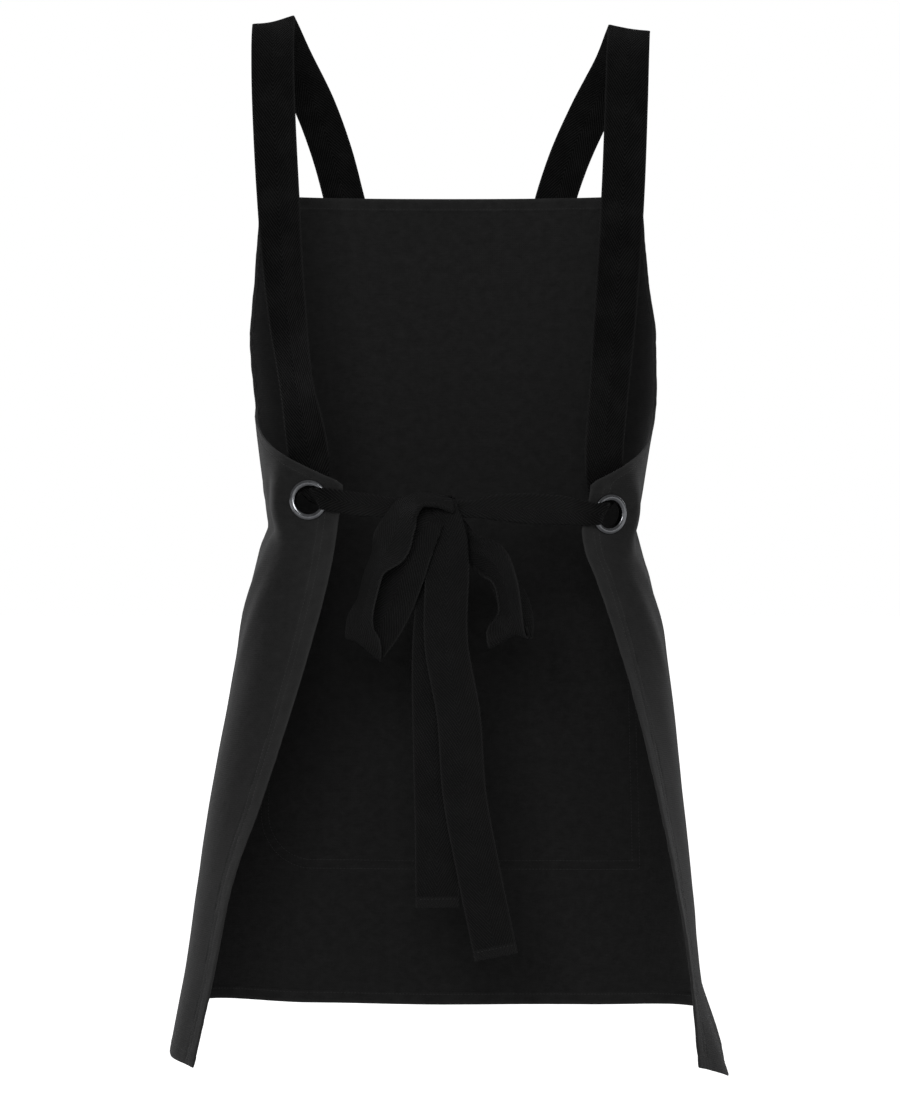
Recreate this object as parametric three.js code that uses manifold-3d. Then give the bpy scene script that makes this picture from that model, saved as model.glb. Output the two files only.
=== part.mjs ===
// Cross back apron in black canvas, in the form it has when worn, tied at the back.
// Millimetres, +Z up. The wearer faces +Y, +X is the wearer's right.
// The origin lies between the two straps where they pass over the shoulders.
import * as THREE from 'three';
import { mergeVertices } from 'three/addons/utils/BufferGeometryUtils.js';
import Module from 'manifold-3d';

const wasm = await Module();
wasm.setup();

// Driving sizes of the canvas
const strapRise = 156; // top edge of the bib below the shoulders
const panelDrop = 795; // top edge of the bib to the hem, at the centre front
const hipHalf = 262; // half of the skirt's width, from the front
const frontReach = 125; // centre front, ahead of the shoulders
const backReach = 132; // back edges, behind the shoulders
const clothWall = 1.6;
const hemWall = 2.6; // folded cloth along every edge
const hemWidth = 16;
const hemSag = 42; // how far the sides of the skirt hang below the front hem

// Driving sizes of the patch pocket
const pocketHalf = 195;
const pocketHeight = 215;
const pocketFloor = 132; // bottom of the pocket above the hem
const pocketRound = 58; // large lower corner, on the wearer's left
const pocketCorner = 10; // small lower corner, on the wearer's right
const pocketWall = 1.4;

// Driving sizes of the webbing
const webWidth = 40;
const webWall = 1.8;
const foldWall = 4; // two layers, where the webbing is folded lengthwise
const strapHalf = { left: 167, right: 170 }; // middle of each strap from the centre, over the shoulder
const strapDip = { left: 0, right: 7 }; // how far below the higher shoulder each strap lies
const shoulderSlope = { left: 18, right: 13 }; // degrees, outer edge lower
const chestHalf = 104; // middle of each strap from the centre, at the bib's top edge
const sewnLength = 44; // strap end lying on the bib
const sewnLean = 14; // degrees that it leans towards the middle
const entryRise = 50; // strap behind the wing, above the eyelet
const entryInset = 0.03; // and that much nearer the widest place, as in cutEdge

// Driving sizes of the bow
const knotHalf = 10; // half of the knot's length, from side to side
const knotRound = 9;
const knotSquare = 0.6; // 1 for a ball, less for a squarer drum
const knotAside = 3.5; // middle of the knot towards the wearer's left
const knotDrop = 463; // middle of the knot below the shoulders
const knotReach = 128; // middle of the knot behind the shoulders
const loopDrop = 130;
const longTail = 408;
const shortTail = 364;
const tailHem = 10;

// Driving sizes of the eyelets
const eyeletHole = 12.8; // radius that the webbing passes through
const eyeletFlange = 18.4; // outer radius
const flangeWall = 2.2;
const barrelWall = 0.8;
const washerWall = 1;
const washerInset = 0.6; // washer smaller than the flange, in radius
const rimRound = 0.8;
const lipWide = 1.6; // end of the barrel, rolled over the washer
const lipWall = 0.9;
const eyeletFlat = 10; // cloth held flat round the flange
const passWidth = 1.5 * eyeletHole; // webbing folded to go through the hole

const gap = 0.3; // between pieces that touch
const seatGap = 0.7; // between curved pieces that lie on each other

// Materials
const canvas = new THREE.MeshStandardMaterial({ color: 0x1b1b1c, roughness: 0.92, metalness: 0 });
const pocketCanvas = new THREE.MeshStandardMaterial({ color: 0x1e1e1f, roughness: 0.92, metalness: 0 });
const webbing = new THREE.MeshStandardMaterial({ color: 0x111112, roughness: 0.85, metalness: 0 });
const metal = new THREE.MeshStandardMaterial({ color: 0x9a9a9c, roughness: 0.3, metalness: 1 });

const apron = new THREE.Group();

// Rows of a table as objects with named columns
function table(columns, rows) {
  return rows.map((row) => Object.fromEntries(columns.map((name, i) => [name, row[i]])));
}

// The form that the cloth lies on, from the centre front to its widest place, one row per level.
// drop: share of panelDrop. left, right: half widths, shares of hipHalf.
// side, front: depth of the widest place and of the centre front, shares of frontReach.
// square: 2 where the front is round, more where it is flatter.
const frontForm = table(['drop', 'left', 'right', 'side', 'front', 'square'], [
  [0, 0.7, 0.706, 0.48, 0.86, 2.2],
  [0.1, 0.719, 0.726, 0.38, 0.94, 2.2],
  [0.18, 0.733, 0.752, 0.25, 0.98, 2.2],
  [0.25, 0.712, 0.751, 0.12, 0.98, 2.2],
  [0.3, 0.694, 0.724, 0.04, 0.96, 2.25],
  [0.355, 0.67, 0.694, -0.03, 0.94, 2.3],
  [0.406, 0.65, 0.667, -0.06, 0.92, 2.3],
  [0.43, 0.675, 0.688, -0.06, 0.93, 2.3],
  [0.46, 0.701, 0.714, -0.08, 0.94, 2.35],
  [0.52, 0.743, 0.76, -0.1, 0.97, 2.4],
  [0.6, 0.789, 0.799, -0.12, 1, 2.5],
  [0.7, 0.847, 0.835, -0.14, 1.02, 2.6],
  [0.8, 0.895, 0.868, -0.16, 1.03, 2.7],
  [0.9, 0.94, 0.898, -0.19, 1.04, 2.8],
  [1, 1, 0.995, -0.25, 1.04, 2.9],
]);

// The wings, from the widest place to the back edges.
// left, right: place of the back edge, shares of hipHalf.
// curl: 0 where the back edge lies across the back, up to 0.5 where it runs straight back.
// tuck: how far back the wing runs before it turns, share of the way to backReach.
const wingForm = table(['drop', 'left', 'right', 'curlLeft', 'curlRight', 'tuckLeft', 'tuckRight'], [
  [0, 0.36, 0.48, 0, 0.12, 0.9, 0.8],
  [0.3, 0.36, 0.48, 0, 0.12, 0.9, 0.8],
  [0.355, 0.365, 0.48, 0, 0.12, 0.9, 0.8],
  [0.406, 0.388, 0.449, 0.02, 0.12, 0.9, 0.8],
  [0.43, 0.402, 0.47, 0.05, 0.16, 0.86, 0.77],
  [0.46, 0.421, 0.505, 0.09, 0.2, 0.82, 0.74],
  [0.52, 0.469, 0.57, 0.16, 0.27, 0.75, 0.7],
  [0.6, 0.542, 0.645, 0.24, 0.33, 0.68, 0.66],
  [0.7, 0.645, 0.723, 0.3, 0.38, 0.63, 0.62],
  [0.8, 0.756, 0.789, 0.34, 0.4, 0.6, 0.6],
  [0.9, 0.822, 0.841, 0.37, 0.4, 0.6, 0.6],
  [1, 0.892, 0.866, 0.4, 0.4, 0.6, 0.6],
]);
const waistDrop = 0.406; // level of the crease at the waist

// The cut edge of the canvas: 1 at the widest place of the section, 2 at its back end.
const cutEdge = table(['drop', 'left', 'right'], [
  [0, 1, 1],
  [0.26, 1, 1],
  [0.279, 1.22, 1.1],
  [0.29, 1.34, 1.22],
  [0.305, 1.5, 1.42],
  [0.323, 1.68, 1.66],
  [0.341, 1.85, 1.85],
  [0.357, 2, 2],
  [1, 2, 2],
]);

// How far the hem hangs below the centre front, as a share of hemSag.
// round: -1 at the left back edge, 1 at the right back edge.
const sagRound = table(['round', 'sag'], [
  [-1, 0.5],
  [-0.77, 0.38],
  [-0.56, -0.34],
  [-0.3, -0.08],
  [0, 0],
  [0.3, -0.04],
  [0.56, -0.18],
  [0.77, 1],
  [1, 0.5],
]);

// A smooth curve through a column of a table, which never overshoots its rows
function readColumn(rows, keyName, column, key) {
  const last = rows.length - 1;
  const k = THREE.MathUtils.clamp(key, rows[0][keyName], rows[last][keyName]);
  let i = 0;
  while (i < last - 1 && k > rows[i + 1][keyName]) i += 1;
  const slope = (j) => (rows[j + 1][column] - rows[j][column]) / (rows[j + 1][keyName] - rows[j][keyName]);
  const tangent = (j, from) => {
    if (j === 0) return slope(0);
    if (j === last) return slope(last - 1);
    if (rows[j][keyName] === waistDrop) return slope(from);
    const a = slope(j - 1);
    const b = slope(j);
    return a * b <= 0 ? 0 : (2 * a * b) / (a + b);
  };
  const span = rows[i + 1][keyName] - rows[i][keyName];
  const f = (k - rows[i][keyName]) / span;
  const f2 = f * f;
  const f3 = f2 * f;
  return rows[i][column] * (2 * f3 - 3 * f2 + 1) + tangent(i, i) * span * (f3 - 2 * f2 + f)
    + rows[i + 1][column] * (3 * f2 - 2 * f3) + tangent(i + 1, i) * span * (f3 - f2);
}

// Half of one level section in plan, from the centre front past the widest place to the back end
const sectionSteps = 24;
const wingTurn = 0.35; // share of the wing's width where it has turned
const sectionCache = new Map();
function halfSection(drop, hand) {
  const cacheKey = `${hand}/${drop.toFixed(7)}`;
  if (sectionCache.has(cacheKey)) return sectionCache.get(cacheKey);
  const isLeft = hand < 0;
  const front = (column) => readColumn(frontForm, 'drop', column, drop);
  const wing = (column) => readColumn(wingForm, 'drop', column + (isLeft ? 'Left' : 'Right'), drop);
  const sideX = hand * hipHalf * front(isLeft ? 'left' : 'right');
  const sideY = frontReach * front('side');
  const frontY = frontReach * front('front');
  const power = 2 / front('square');
  const backX = hand * hipHalf * readColumn(wingForm, 'drop', isLeft ? 'left' : 'right', drop);
  const backY = -backReach;
  const points = [];
  for (let i = 0; i <= sectionSteps; i += 1) {
    const a = (i / sectionSteps) * (Math.PI / 2);
    points.push(new THREE.Vector2(
      sideX * Math.sin(a) ** power,
      sideY + (frontY - sideY) * Math.cos(a) ** power,
    ));
  }
  const wingCurve = new THREE.CubicBezierCurve(
    new THREE.Vector2(sideX, sideY),
    new THREE.Vector2(sideX, sideY + wing('tuck') * (backY - sideY)),
    new THREE.Vector2(sideX + wingTurn * (backX - sideX), backY + wing('curl') * (sideY - backY)),
    new THREE.Vector2(backX, backY),
  );
  for (let i = 1; i <= sectionSteps; i += 1) points.push(wingCurve.getPoint(i / sectionSteps));
  const arcs = [0];
  for (let i = 1; i < points.length; i += 1) arcs.push(arcs[i - 1] + points[i].distanceTo(points[i - 1]));
  const section = { points, arcs, sideArc: arcs[sectionSteps], backArc: arcs[arcs.length - 1] };
  sectionCache.set(cacheKey, section);
  return section;
}

// Distance along the cloth from the centre front to a place on the section: 1 widest, 2 back end
function arcAt(drop, hand, place) {
  const { sideArc, backArc } = halfSection(drop, hand);
  return place <= 1 ? place * sideArc : sideArc + (place - 1) * (backArc - sideArc);
}

// Middle of the cloth at a distance along it from the centre front, and a share of the drop
function formPoint(arc, drop) {
  const hand = arc < 0 ? -1 : 1;
  const level = THREE.MathUtils.clamp(drop, 0, 1);
  const { points, arcs, backArc } = halfSection(level, hand);
  const s = Math.abs(arc);
  let i = 0;
  while (i < arcs.length - 2 && s > arcs[i + 1]) i += 1;
  const f = (s - arcs[i]) / (arcs[i + 1] - arcs[i]);
  const plan = points[i].clone().lerp(points[i + 1], f);
  const sag = hemSag * readColumn(sagRound, 'round', 'sag', arc / backArc) * level * level;
  return new THREE.Vector3(plan.x, plan.y, -strapRise - panelDrop * drop - sag);
}

// Eyelet places in the cloth: place as in cutEdge, drop as a share of panelDrop
const eyelets = [
  { name: 'left', hand: -1, place: 1.82, drop: 0.373 },
  { name: 'right', hand: 1, place: 1.83, drop: 0.387 },
].map((spot) => {
  const arc = spot.hand * arcAt(spot.drop, spot.hand, spot.place);
  const { across, out } = tangentsAt(arc, spot.drop, formPoint);
  return { ...spot, arc, centre: formPoint(arc, spot.drop), across, out };
});

// Across: level, towards the wearer's right. out: away from the wearer.
function tangentsAt(arc, drop, surface) {
  const stepArc = 2;
  const stepDrop = 2 / panelDrop;
  const across = surface(arc + stepArc, drop).sub(surface(arc - stepArc, drop)).normalize();
  const down = surface(arc, Math.min(drop + stepDrop, 1)).sub(surface(arc, Math.max(drop - stepDrop, 0)));
  const out = across.clone().cross(down).normalize();
  return { across, out };
}

// The cloth with the places round the eyelets held flat
function clothPoint(arc, drop) {
  const point = formPoint(arc, drop);
  for (const eyelet of eyelets) {
    const away = point.clone().sub(eyelet.centre);
    const reach = eyeletFlange + eyeletFlat;
    const hold = 1 - THREE.MathUtils.smoothstep(away.length(), reach, reach + 3 * eyeletFlat);
    point.addScaledVector(eyelet.out, -away.dot(eyelet.out) * hold);
  }
  return point;
}

// A place on the cloth, moved out from its middle by a distance
function onCloth(arc, drop, away) {
  const { across, out } = tangentsAt(arc, drop, clothPoint);
  return { at: clothPoint(arc, drop).addScaledVector(out, away), across, out };
}

// A closed body from a grid of outer and inner points, rows by columns
function shellGeometry(outer, inner) {
  const rows = outer.length;
  const columns = outer[0].length;
  const positions = [];
  for (const grid of [outer, inner]) {
    for (const row of grid) for (const p of row) positions.push(p.x, p.y, p.z);
  }
  const id = (layer, r, c) => layer * rows * columns + r * columns + c;
  const faces = [];
  const quad = (a, b, c, d) => faces.push(a, b, c, a, c, d);
  for (let r = 0; r < rows - 1; r += 1) {
    for (let c = 0; c < columns - 1; c += 1) {
      quad(id(0, r, c), id(0, r + 1, c), id(0, r + 1, c + 1), id(0, r, c + 1));
      quad(id(1, r, c), id(1, r, c + 1), id(1, r + 1, c + 1), id(1, r + 1, c));
    }
  }
  for (let c = 0; c < columns - 1; c += 1) {
    quad(id(0, 0, c), id(0, 0, c + 1), id(1, 0, c + 1), id(1, 0, c));
    quad(id(0, rows - 1, c), id(1, rows - 1, c), id(1, rows - 1, c + 1), id(0, rows - 1, c + 1));
  }
  for (let r = 0; r < rows - 1; r += 1) {
    quad(id(0, r, 0), id(1, r, 0), id(1, r + 1, 0), id(0, r + 1, 0));
    quad(id(0, r, columns - 1), id(0, r + 1, columns - 1), id(1, r + 1, columns - 1), id(1, r, columns - 1));
  }
  const geometry = new THREE.BufferGeometry();
  geometry.setAttribute('position', new THREE.Float32BufferAttribute(positions, 3));
  geometry.setIndex(faces);
  return facingOut(geometry);
}

// The same body with its faces turned round if they point inwards
function facingOut(geometry) {
  const p = geometry.attributes.position;
  const index = geometry.index.array;
  const [a, b, c] = [new THREE.Vector3(), new THREE.Vector3(), new THREE.Vector3()];
  let volume = 0;
  for (let i = 0; i < index.length; i += 3) {
    a.fromBufferAttribute(p, index[i]);
    b.fromBufferAttribute(p, index[i + 1]);
    c.fromBufferAttribute(p, index[i + 2]);
    volume += a.dot(b.cross(c)) / 6;
  }
  if (volume < 0) {
    for (let i = 0; i < index.length; i += 3) [index[i], index[i + 1]] = [index[i + 1], index[i]];
  }
  return geometry;
}

function toSolid(geometry) {
  const bare = geometry.clone();
  for (const name of Object.keys(bare.attributes)) {
    if (name !== 'position') bare.deleteAttribute(name);
  }
  const merged = mergeVertices(bare, 1e-4);
  return new wasm.Manifold(new wasm.Mesh({
    numProp: 3,
    vertProperties: new Float32Array(merged.attributes.position.array),
    triVerts: new Uint32Array(merged.index.array),
  }));
}

function toGeometry(solid) {
  const mesh = solid.getMesh();
  const geometry = new THREE.BufferGeometry();
  geometry.setAttribute('position', new THREE.BufferAttribute(new Float32Array(mesh.vertProperties), 3));
  geometry.setIndex(new THREE.BufferAttribute(new Uint32Array(mesh.triVerts), 1));
  return geometry;
}

function cutAway(geometry, tools) {
  return toGeometry(tools.reduce((solid, tool) => solid.subtract(toSolid(tool)), toSolid(geometry)));
}

function addPiece(name, geometry, material) {
  const mesh = new THREE.Mesh(geometry, material);
  mesh.name = name;
  apron.add(mesh);
  return mesh;
}

// Turns a body whose axis is Y so that its axis points out of the cloth at an eyelet
function seatAtEyelet(geometry, eyelet) {
  const up = new THREE.Vector3().crossVectors(eyelet.across, eyelet.out).normalize();
  const basis = new THREE.Matrix4().makeBasis(eyelet.across, eyelet.out, up.clone());
  if (basis.determinant() < 0) basis.makeBasis(eyelet.across, eyelet.out, up.negate());
  return geometry.applyMatrix4(basis.setPosition(eyelet.centre));
}

const roundSides = 26;
const barrelRadius = eyeletHole + barrelWall;

// Canvas panel
function makePanel() {
  const hemShare = hemWidth / panelDrop;
  const levels = [0, hemShare, 0.05, 0.09, 0.13, 0.17, 0.21, 0.24, 0.26, 0.274, 0.288, 0.302, 0.316, 0.33,
    0.344, 0.357, 0.372, 0.39, waistDrop, 0.418, 0.435, 0.46, 0.49, 0.53, 0.57, 0.61, 0.66, 0.71, 0.76,
    0.81, 0.86, 0.9, 0.94, 1 - hemShare, 1];
  const columnsEachSide = 16;
  const outer = [];
  const inner = [];
  levels.forEach((drop, row) => {
    const outerRow = [];
    const innerRow = [];
    const edge = {};
    for (const hand of [-1, 1]) {
      const name = hand < 0 ? 'left' : 'right';
      edge[hand] = arcAt(drop, hand, readColumn(cutEdge, 'drop', name, drop));
    }
    for (let column = -columnsEachSide; column <= columnsEachSide; column += 1) {
      const hand = column < 0 ? -1 : 1;
      const reach = edge[hand];
      const inHem = Math.abs(column) === columnsEachSide;
      const share = Math.abs(column) / (columnsEachSide - 1);
      const arc = inHem ? reach : Math.min(share * (reach - hemWidth), reach - hemWidth);
      const onRim = inHem || row === 0 || row === levels.length - 1;
      const half = (onRim ? hemWall : clothWall) / 2;
      const place = onCloth(hand * arc, drop, 0);
      outerRow.push(place.at.clone().addScaledVector(place.out, half));
      innerRow.push(place.at.clone().addScaledVector(place.out, -half));
    }
    outer.push(outerRow);
    inner.push(innerRow);
  });
  // A hole for each eyelet's barrel, and a flat seat for its flange and washer
  const holes = eyelets.flatMap((eyelet) => {
    const seatDepth = 4 * clothWall;
    const seatRadius = eyeletFlange + gap;
    const seatAway = clothWall / 2 + gap / 4 + seatDepth / 2;
    const holeRadius = barrelRadius + gap;
    const hole = new THREE.CylinderGeometry(holeRadius, holeRadius, 4 * seatDepth, roundSides);
    const outside = new THREE.CylinderGeometry(seatRadius, seatRadius, seatDepth, roundSides);
    const inside = outside.clone().translate(0, -seatAway, 0);
    return [hole, outside.translate(0, seatAway, 0), inside].map((tool) => seatAtEyelet(tool, eyelet));
  });
  addPiece('apron_panel', cutAway(shellGeometry(outer, inner), holes), canvas);
}

// Patch pocket on the outer front, open along its top edge
function makePocket() {
  const rows = 9;
  const columns = 26;
  const away = clothWall / 2 + seatGap + pocketWall / 2;
  const outer = [];
  const inner = [];
  for (let r = 0; r <= rows; r += 1) {
    const height = pocketHeight * (1 - Math.sin((r / rows) * (Math.PI / 2)));
    const drop = 1 - (pocketFloor + height) / panelDrop;
    const inset = (radius) => {
      const rise = Math.max(0, radius - height);
      return radius - Math.sqrt(Math.max(0, radius * radius - rise * rise));
    };
    const from = -pocketHalf + inset(pocketRound);
    const to = pocketHalf - inset(pocketCorner);
    const outerRow = [];
    const innerRow = [];
    for (let c = 0; c <= columns; c += 1) {
      const arc = from + ((to - from) * c) / columns;
      outerRow.push(onCloth(arc, drop, away + pocketWall / 2).at);
      innerRow.push(onCloth(arc, drop, away - pocketWall / 2).at);
    }
    outer.push(outerRow);
    inner.push(innerRow);
  }
  addPiece('pocket', shellGeometry(outer, inner), pocketCanvas);
}

// A flat band through stations, each with a place, a direction across the band, a width and a wall
const strapSteps = 84;
const loopSteps = 48;
const tailSteps = 26;
function bandGeometry(stations, steps) {
  const path = new THREE.CatmullRomCurve3(stations.map((s) => s.at), false, 'centripetal');
  const across = new THREE.CatmullRomCurve3(stations.map((s) => s.across), false, 'catmullrom', 0.3);
  const widths = stations.map((s) => s.wide);
  const walls = stations.map((s) => s.wall);
  const between = (values, f) => {
    const i = Math.min(Math.floor(f), values.length - 2);
    return values[i] + (values[i + 1] - values[i]) * (f - i);
  };
  const cells = 2;
  const outer = [];
  const inner = [];
  for (let i = 0; i <= steps; i += 1) {
    const t = i / steps;
    const at = path.getPoint(t);
    const tangent = path.getTangent(t);
    const wide = across.getPoint(t);
    wide.addScaledVector(tangent, -wide.dot(tangent)).normalize();
    const out = new THREE.Vector3().crossVectors(wide, tangent).normalize();
    const f = t * (stations.length - 1);
    const width = between(widths, f);
    const wall = between(walls, f);
    const outerRow = [];
    const innerRow = [];
    for (let c = 0; c <= cells; c += 1) {
      const place = at.clone().addScaledVector(wide, width * (c / cells - 0.5));
      outerRow.push(place.clone().addScaledVector(out, wall / 2));
      innerRow.push(place.clone().addScaledVector(out, -wall / 2));
    }
    outer.push(outerRow);
    inner.push(innerRow);
  }
  return shellGeometry(outer, inner);
}

// Knot, a rounded drum with its axis from side to side
const knotCentre = new THREE.Vector3(-knotAside, -knotReach, -knotDrop);
function knotGeometry(extra) {
  const profile = [];
  const steps = 8;
  for (let i = 0; i <= steps; i += 1) {
    const a = (i / steps) * Math.PI;
    const round = (knotRound + extra) * Math.max(0, Math.sin(a)) ** knotSquare;
    profile.push(new THREE.Vector2(round, -(knotHalf + extra) * Math.cos(a)));
  }
  profile[0].x = 0;
  profile[steps].x = 0;
  const drum = new THREE.LatheGeometry(profile, 16);
  drum.rotateZ(-Math.PI / 2);
  return drum.translate(knotCentre.x, knotCentre.y, knotCentre.z);
}

// Direction across a band: turned in the picture plane from the X axis, then swung in depth
function acrossBy(turnDegrees, swingDegrees) {
  const turn = THREE.MathUtils.degToRad(turnDegrees);
  const swing = THREE.MathUtils.degToRad(swingDegrees);
  const level = Math.cos(swing);
  return new THREE.Vector3(Math.cos(turn) * level, Math.sin(swing), Math.sin(turn) * level);
}

// Front of the strap, from the bib's top edge up to the shoulder, as shares of the way between them.
// turn: share of shoulderSlope.
const strapFront = table(['left', 'right', 'forward', 'down', 'turn'], [
  [0.83, 0.8, 0.93, 0.74, 0.7],
  [0.57, 0.5, 0.78, 0.45, 0.8],
  [0.23, 0.17, 0.5, 0.18, 0.9],
  [0.06, 0.04, 0.2, 0.04, 1],
]);

// Back of the strap, from the shoulder to the wing, as shares of the way between them.
// swing: degrees that its inner edge turns to the back.
const strapBack = table(['across', 'back', 'down', 'swing'], [
  [0.01, 0.16, 0.012, 2],
  [0.03, 0.4, 0.07, 2],
  [0.08, 0.6, 0.19, 4],
  [0.22, 0.75, 0.4, 8],
  [0.42, 0.86, 0.64, 20],
  [0.72, 0.95, 0.86, 30],
]);

// The webbing from behind the wing out through the eyelet, where it narrows and folds to pass.
// rise: share of eyeletHole above its middle. inward: share of eyeletFlange, towards the middle of the back.
// side: 1 outer face of the eyelet, -1 inner face. beyond: share of foldWall, out of the cloth.
// turned: 0 where the webbing lies flat on the wing, 1 where it is level. wide: share of passWidth.
// wall: share of foldWall.
const throughEyelet = table(['rise', 'inward', 'side', 'beyond', 'turned', 'wide', 'wall'], [
  [1.6, -0.05, -1, -1.25, 0, 1.67, 0.6],
  [0.5, -0.05, -1, -2, 0.5, 1.15, 1],
  [0, 0, -1, -0.25, 1, 1, 1],
  [0, 0.08, 1, -0.25, 1, 1, 1],
  [0, 0.33, 1, 1, 1, 1, 1],
  [0, 1.11, 1, 1.3, 1, 1, 1],
]);

// The webbing between the eyelet and the knot.
// along: share of the way. up, out, wide: shares of webWidth.
const tieColumns = ['along', 'up', 'out', 'wide'];
const tieRun = {
  left: table(tieColumns, [
    [0.3, -0.05, 0.08, 0.5],
    [0.6, -0.06, 0.05, 0.42],
    [0.85, -0.02, 0.02, 0.34],
  ]),
  right: table(tieColumns, [
    [0.2, 0.05, 0.12, 0.6],
    [0.45, 0.06, 0.12, 0.66],
    [0.7, 0.06, 0.1, 0.55],
    [0.88, 0, 0.04, 0.3],
  ]),
};

// One strap with its tie: bib, shoulder, back, through the eyelet, and to the knot.
// Every across direction points to the wearer's right, until the webbing turns level for the tie.
function makeStrap(eyelet) {
  const { name, hand } = eyelet;
  const stations = [];
  const add = (at, across, wide = webWidth, wall = webWall) => stations.push({ at, across, wide, wall });

  // Sewn end on the outer face of the bib
  const lying = hemWall / 2 + seatGap + webWall / 2;
  const lean = Math.tan(THREE.MathUtils.degToRad(sewnLean));
  for (const below of [sewnLength, sewnLength / 2, 0]) {
    const spot = onCloth(hand * (chestHalf - lean * below), below / panelDrop, lying);
    add(spot.at, spot.across);
  }
  const bibTop = stations[stations.length - 1];
  const shoulder = new THREE.Vector3(hand * strapHalf[name], 0, -strapDip[name]);
  const slope = -shoulderSlope[name] * hand;
  const toBib = bibTop.at.clone().sub(shoulder);
  for (const row of strapFront) {
    const share = new THREE.Vector3(row[name], row.forward, row.down);
    const facing = bibTop.across.clone().lerp(acrossBy(row.turn * slope, 0), 1 - row.down);
    add(shoulder.clone().add(share.multiply(toBib)), facing);
  }
  add(shoulder, acrossBy(slope, 0));

  // Down the back to the inner face of the wing
  const behindWing = -(hemWall / 2 + washerWall + gap + foldWall + seatGap);
  const entryDrop = eyelet.drop - entryRise / panelDrop;
  const entryArc = hand * arcAt(entryDrop, hand, eyelet.place - entryInset);
  const entry = onCloth(entryArc, entryDrop, behindWing - webWall);
  const toWing = entry.at.clone().sub(shoulder);
  for (const row of strapBack) {
    const share = new THREE.Vector3(row.across, row.back, row.down);
    add(shoulder.clone().add(share.multiply(toWing)), acrossBy(0, row.swing * hand));
  }
  add(entry.at, entry.across.clone().negate());

  // Through the eyelet
  const level = new THREE.Vector3(0, 0, -hand);
  const inward = eyelet.across.clone().multiplyScalar(hand);
  const rightward = eyelet.across.clone().negate();
  const face = clothWall / 2 + gap + flangeWall;
  for (const row of throughEyelet) {
    const at = eyelet.centre.clone()
      .addScaledVector(new THREE.Vector3(0, 0, 1), row.rise * eyeletHole)
      .addScaledVector(inward, row.inward * eyeletFlange)
      .addScaledVector(eyelet.out, row.side * face + row.beyond * foldWall);
    add(at, rightward.clone().lerp(level, row.turned), row.wide * passWidth, row.wall * foldWall);
  }

  // Along the back to the knot
  const start = stations[stations.length - 1].at;
  const end = knotCentre.clone().add(new THREE.Vector3(hand * knotHalf * 0.5, 0, 0));
  for (const row of tieRun[name]) {
    const at = start.clone().lerp(end, row.along);
    at.z += row.up * webWidth;
    at.y -= row.out * webWidth;
    add(at, level, row.wide * webWidth, foldWall);
  }
  add(end, level, knotRound, foldWall);
  addPiece(`strap_${name}`, cutAway(bandGeometry(stations, strapSteps), [knotGeometry(gap)]), webbing);
}

// Loops of the bow, from the knot round and back to it.
// across, down, out: shares of loopDrop from the knot's middle. wide: share of webWidth. Angles in degrees.
const loopColumns = ['across', 'down', 'out', 'turn', 'swing', 'wide'];
const loops = {
  left: table(loopColumns, [
    [-0.01, -0.04, 0.06, -105, -60, 0.4],
    [-0.1, -0.062, 0.14, -95, -70, 0.55],
    [-0.198, -0.062, 0.19, -75, -66, 0.7],
    [-0.285, 0, 0.22, -40, -50, 0.85],
    [-0.335, 0.12, 0.22, 5, -36, 0.95],
    [-0.392, 0.265, 0.2, 14, -26, 1],
    [-0.495, 0.43, 0.17, 14, -60, 1],
    [-0.552, 0.64, 0.15, 12, -62, 1],
    [-0.596, 0.815, 0.12, -8, -50, 1],
    [-0.576, 0.94, 0.08, -36, -14, 1],
    [-0.569, 0.97, 0.04, -40, 0, 1],
    [-0.55, 0.94, 0, -38, 4, 1],
    [-0.47, 0.83, 0, -30, 2, 1],
    [-0.38, 0.66, 0.03, -24, 0, 1],
    [-0.303, 0.46, 0.09, -20, 0, 1],
    [-0.233, 0.257, 0.13, -22, -4, 0.95],
    [-0.128, 0.105, 0.13, -35, -8, 0.72],
    [-0.04, 0.03, 0.07, -48, -8, 0.4],
  ]),
  right: table(loopColumns, [
    [0, 0.02, -0.055, 20, 0, 0.32],
    [0.035, 0.065, -0.085, 30, -6, 0.38],
    [0.097, 0.195, -0.14, 42, -25, 0.5],
    [0.2, 0.3, -0.05, 56, -42, 0.72],
    [0.33, 0.375, 0.05, 46, -42, 0.9],
    [0.41, 0.53, 0.1, 16, -54, 1],
    [0.445, 0.72, 0.11, 4, -58, 1],
    [0.437, 0.84, 0.09, 14, -44, 1],
    [0.432, 0.892, 0.06, 28, -16, 1],
    [0.44, 0.905, 0.02, 30, 0, 1],
    [0.46, 0.87, -0.02, 24, 14, 1],
    [0.485, 0.79, -0.05, 10, 30, 1],
    [0.475, 0.66, -0.07, 18, 44, 1],
    [0.4, 0.49, -0.1, 36, 58, 1],
    [0.28, 0.37, -0.15, 44, 44, 0.75],
    [0.15, 0.23, -0.19, 46, 22, 0.5],
    [0.045, 0.06, -0.15, 44, 6, 0.36],
    [0.01, -0.035, -0.1, 30, 0, 0.32],
    [0, -0.05, -0.04, 20, 0, 0.3],
  ]),
};

function makeLoop(name) {
  const stations = loops[name].map((row) => ({
    at: knotCentre.clone().add(new THREE.Vector3(row.across, -row.out, -row.down).multiplyScalar(loopDrop)),
    across: acrossBy(row.turn, row.swing),
    wide: row.wide * webWidth,
    wall: webWall,
  }));
  addPiece(`bow_loop_${name}`, cutAway(bandGeometry(stations, loopSteps), [knotGeometry(gap)]), webbing);
}

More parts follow.
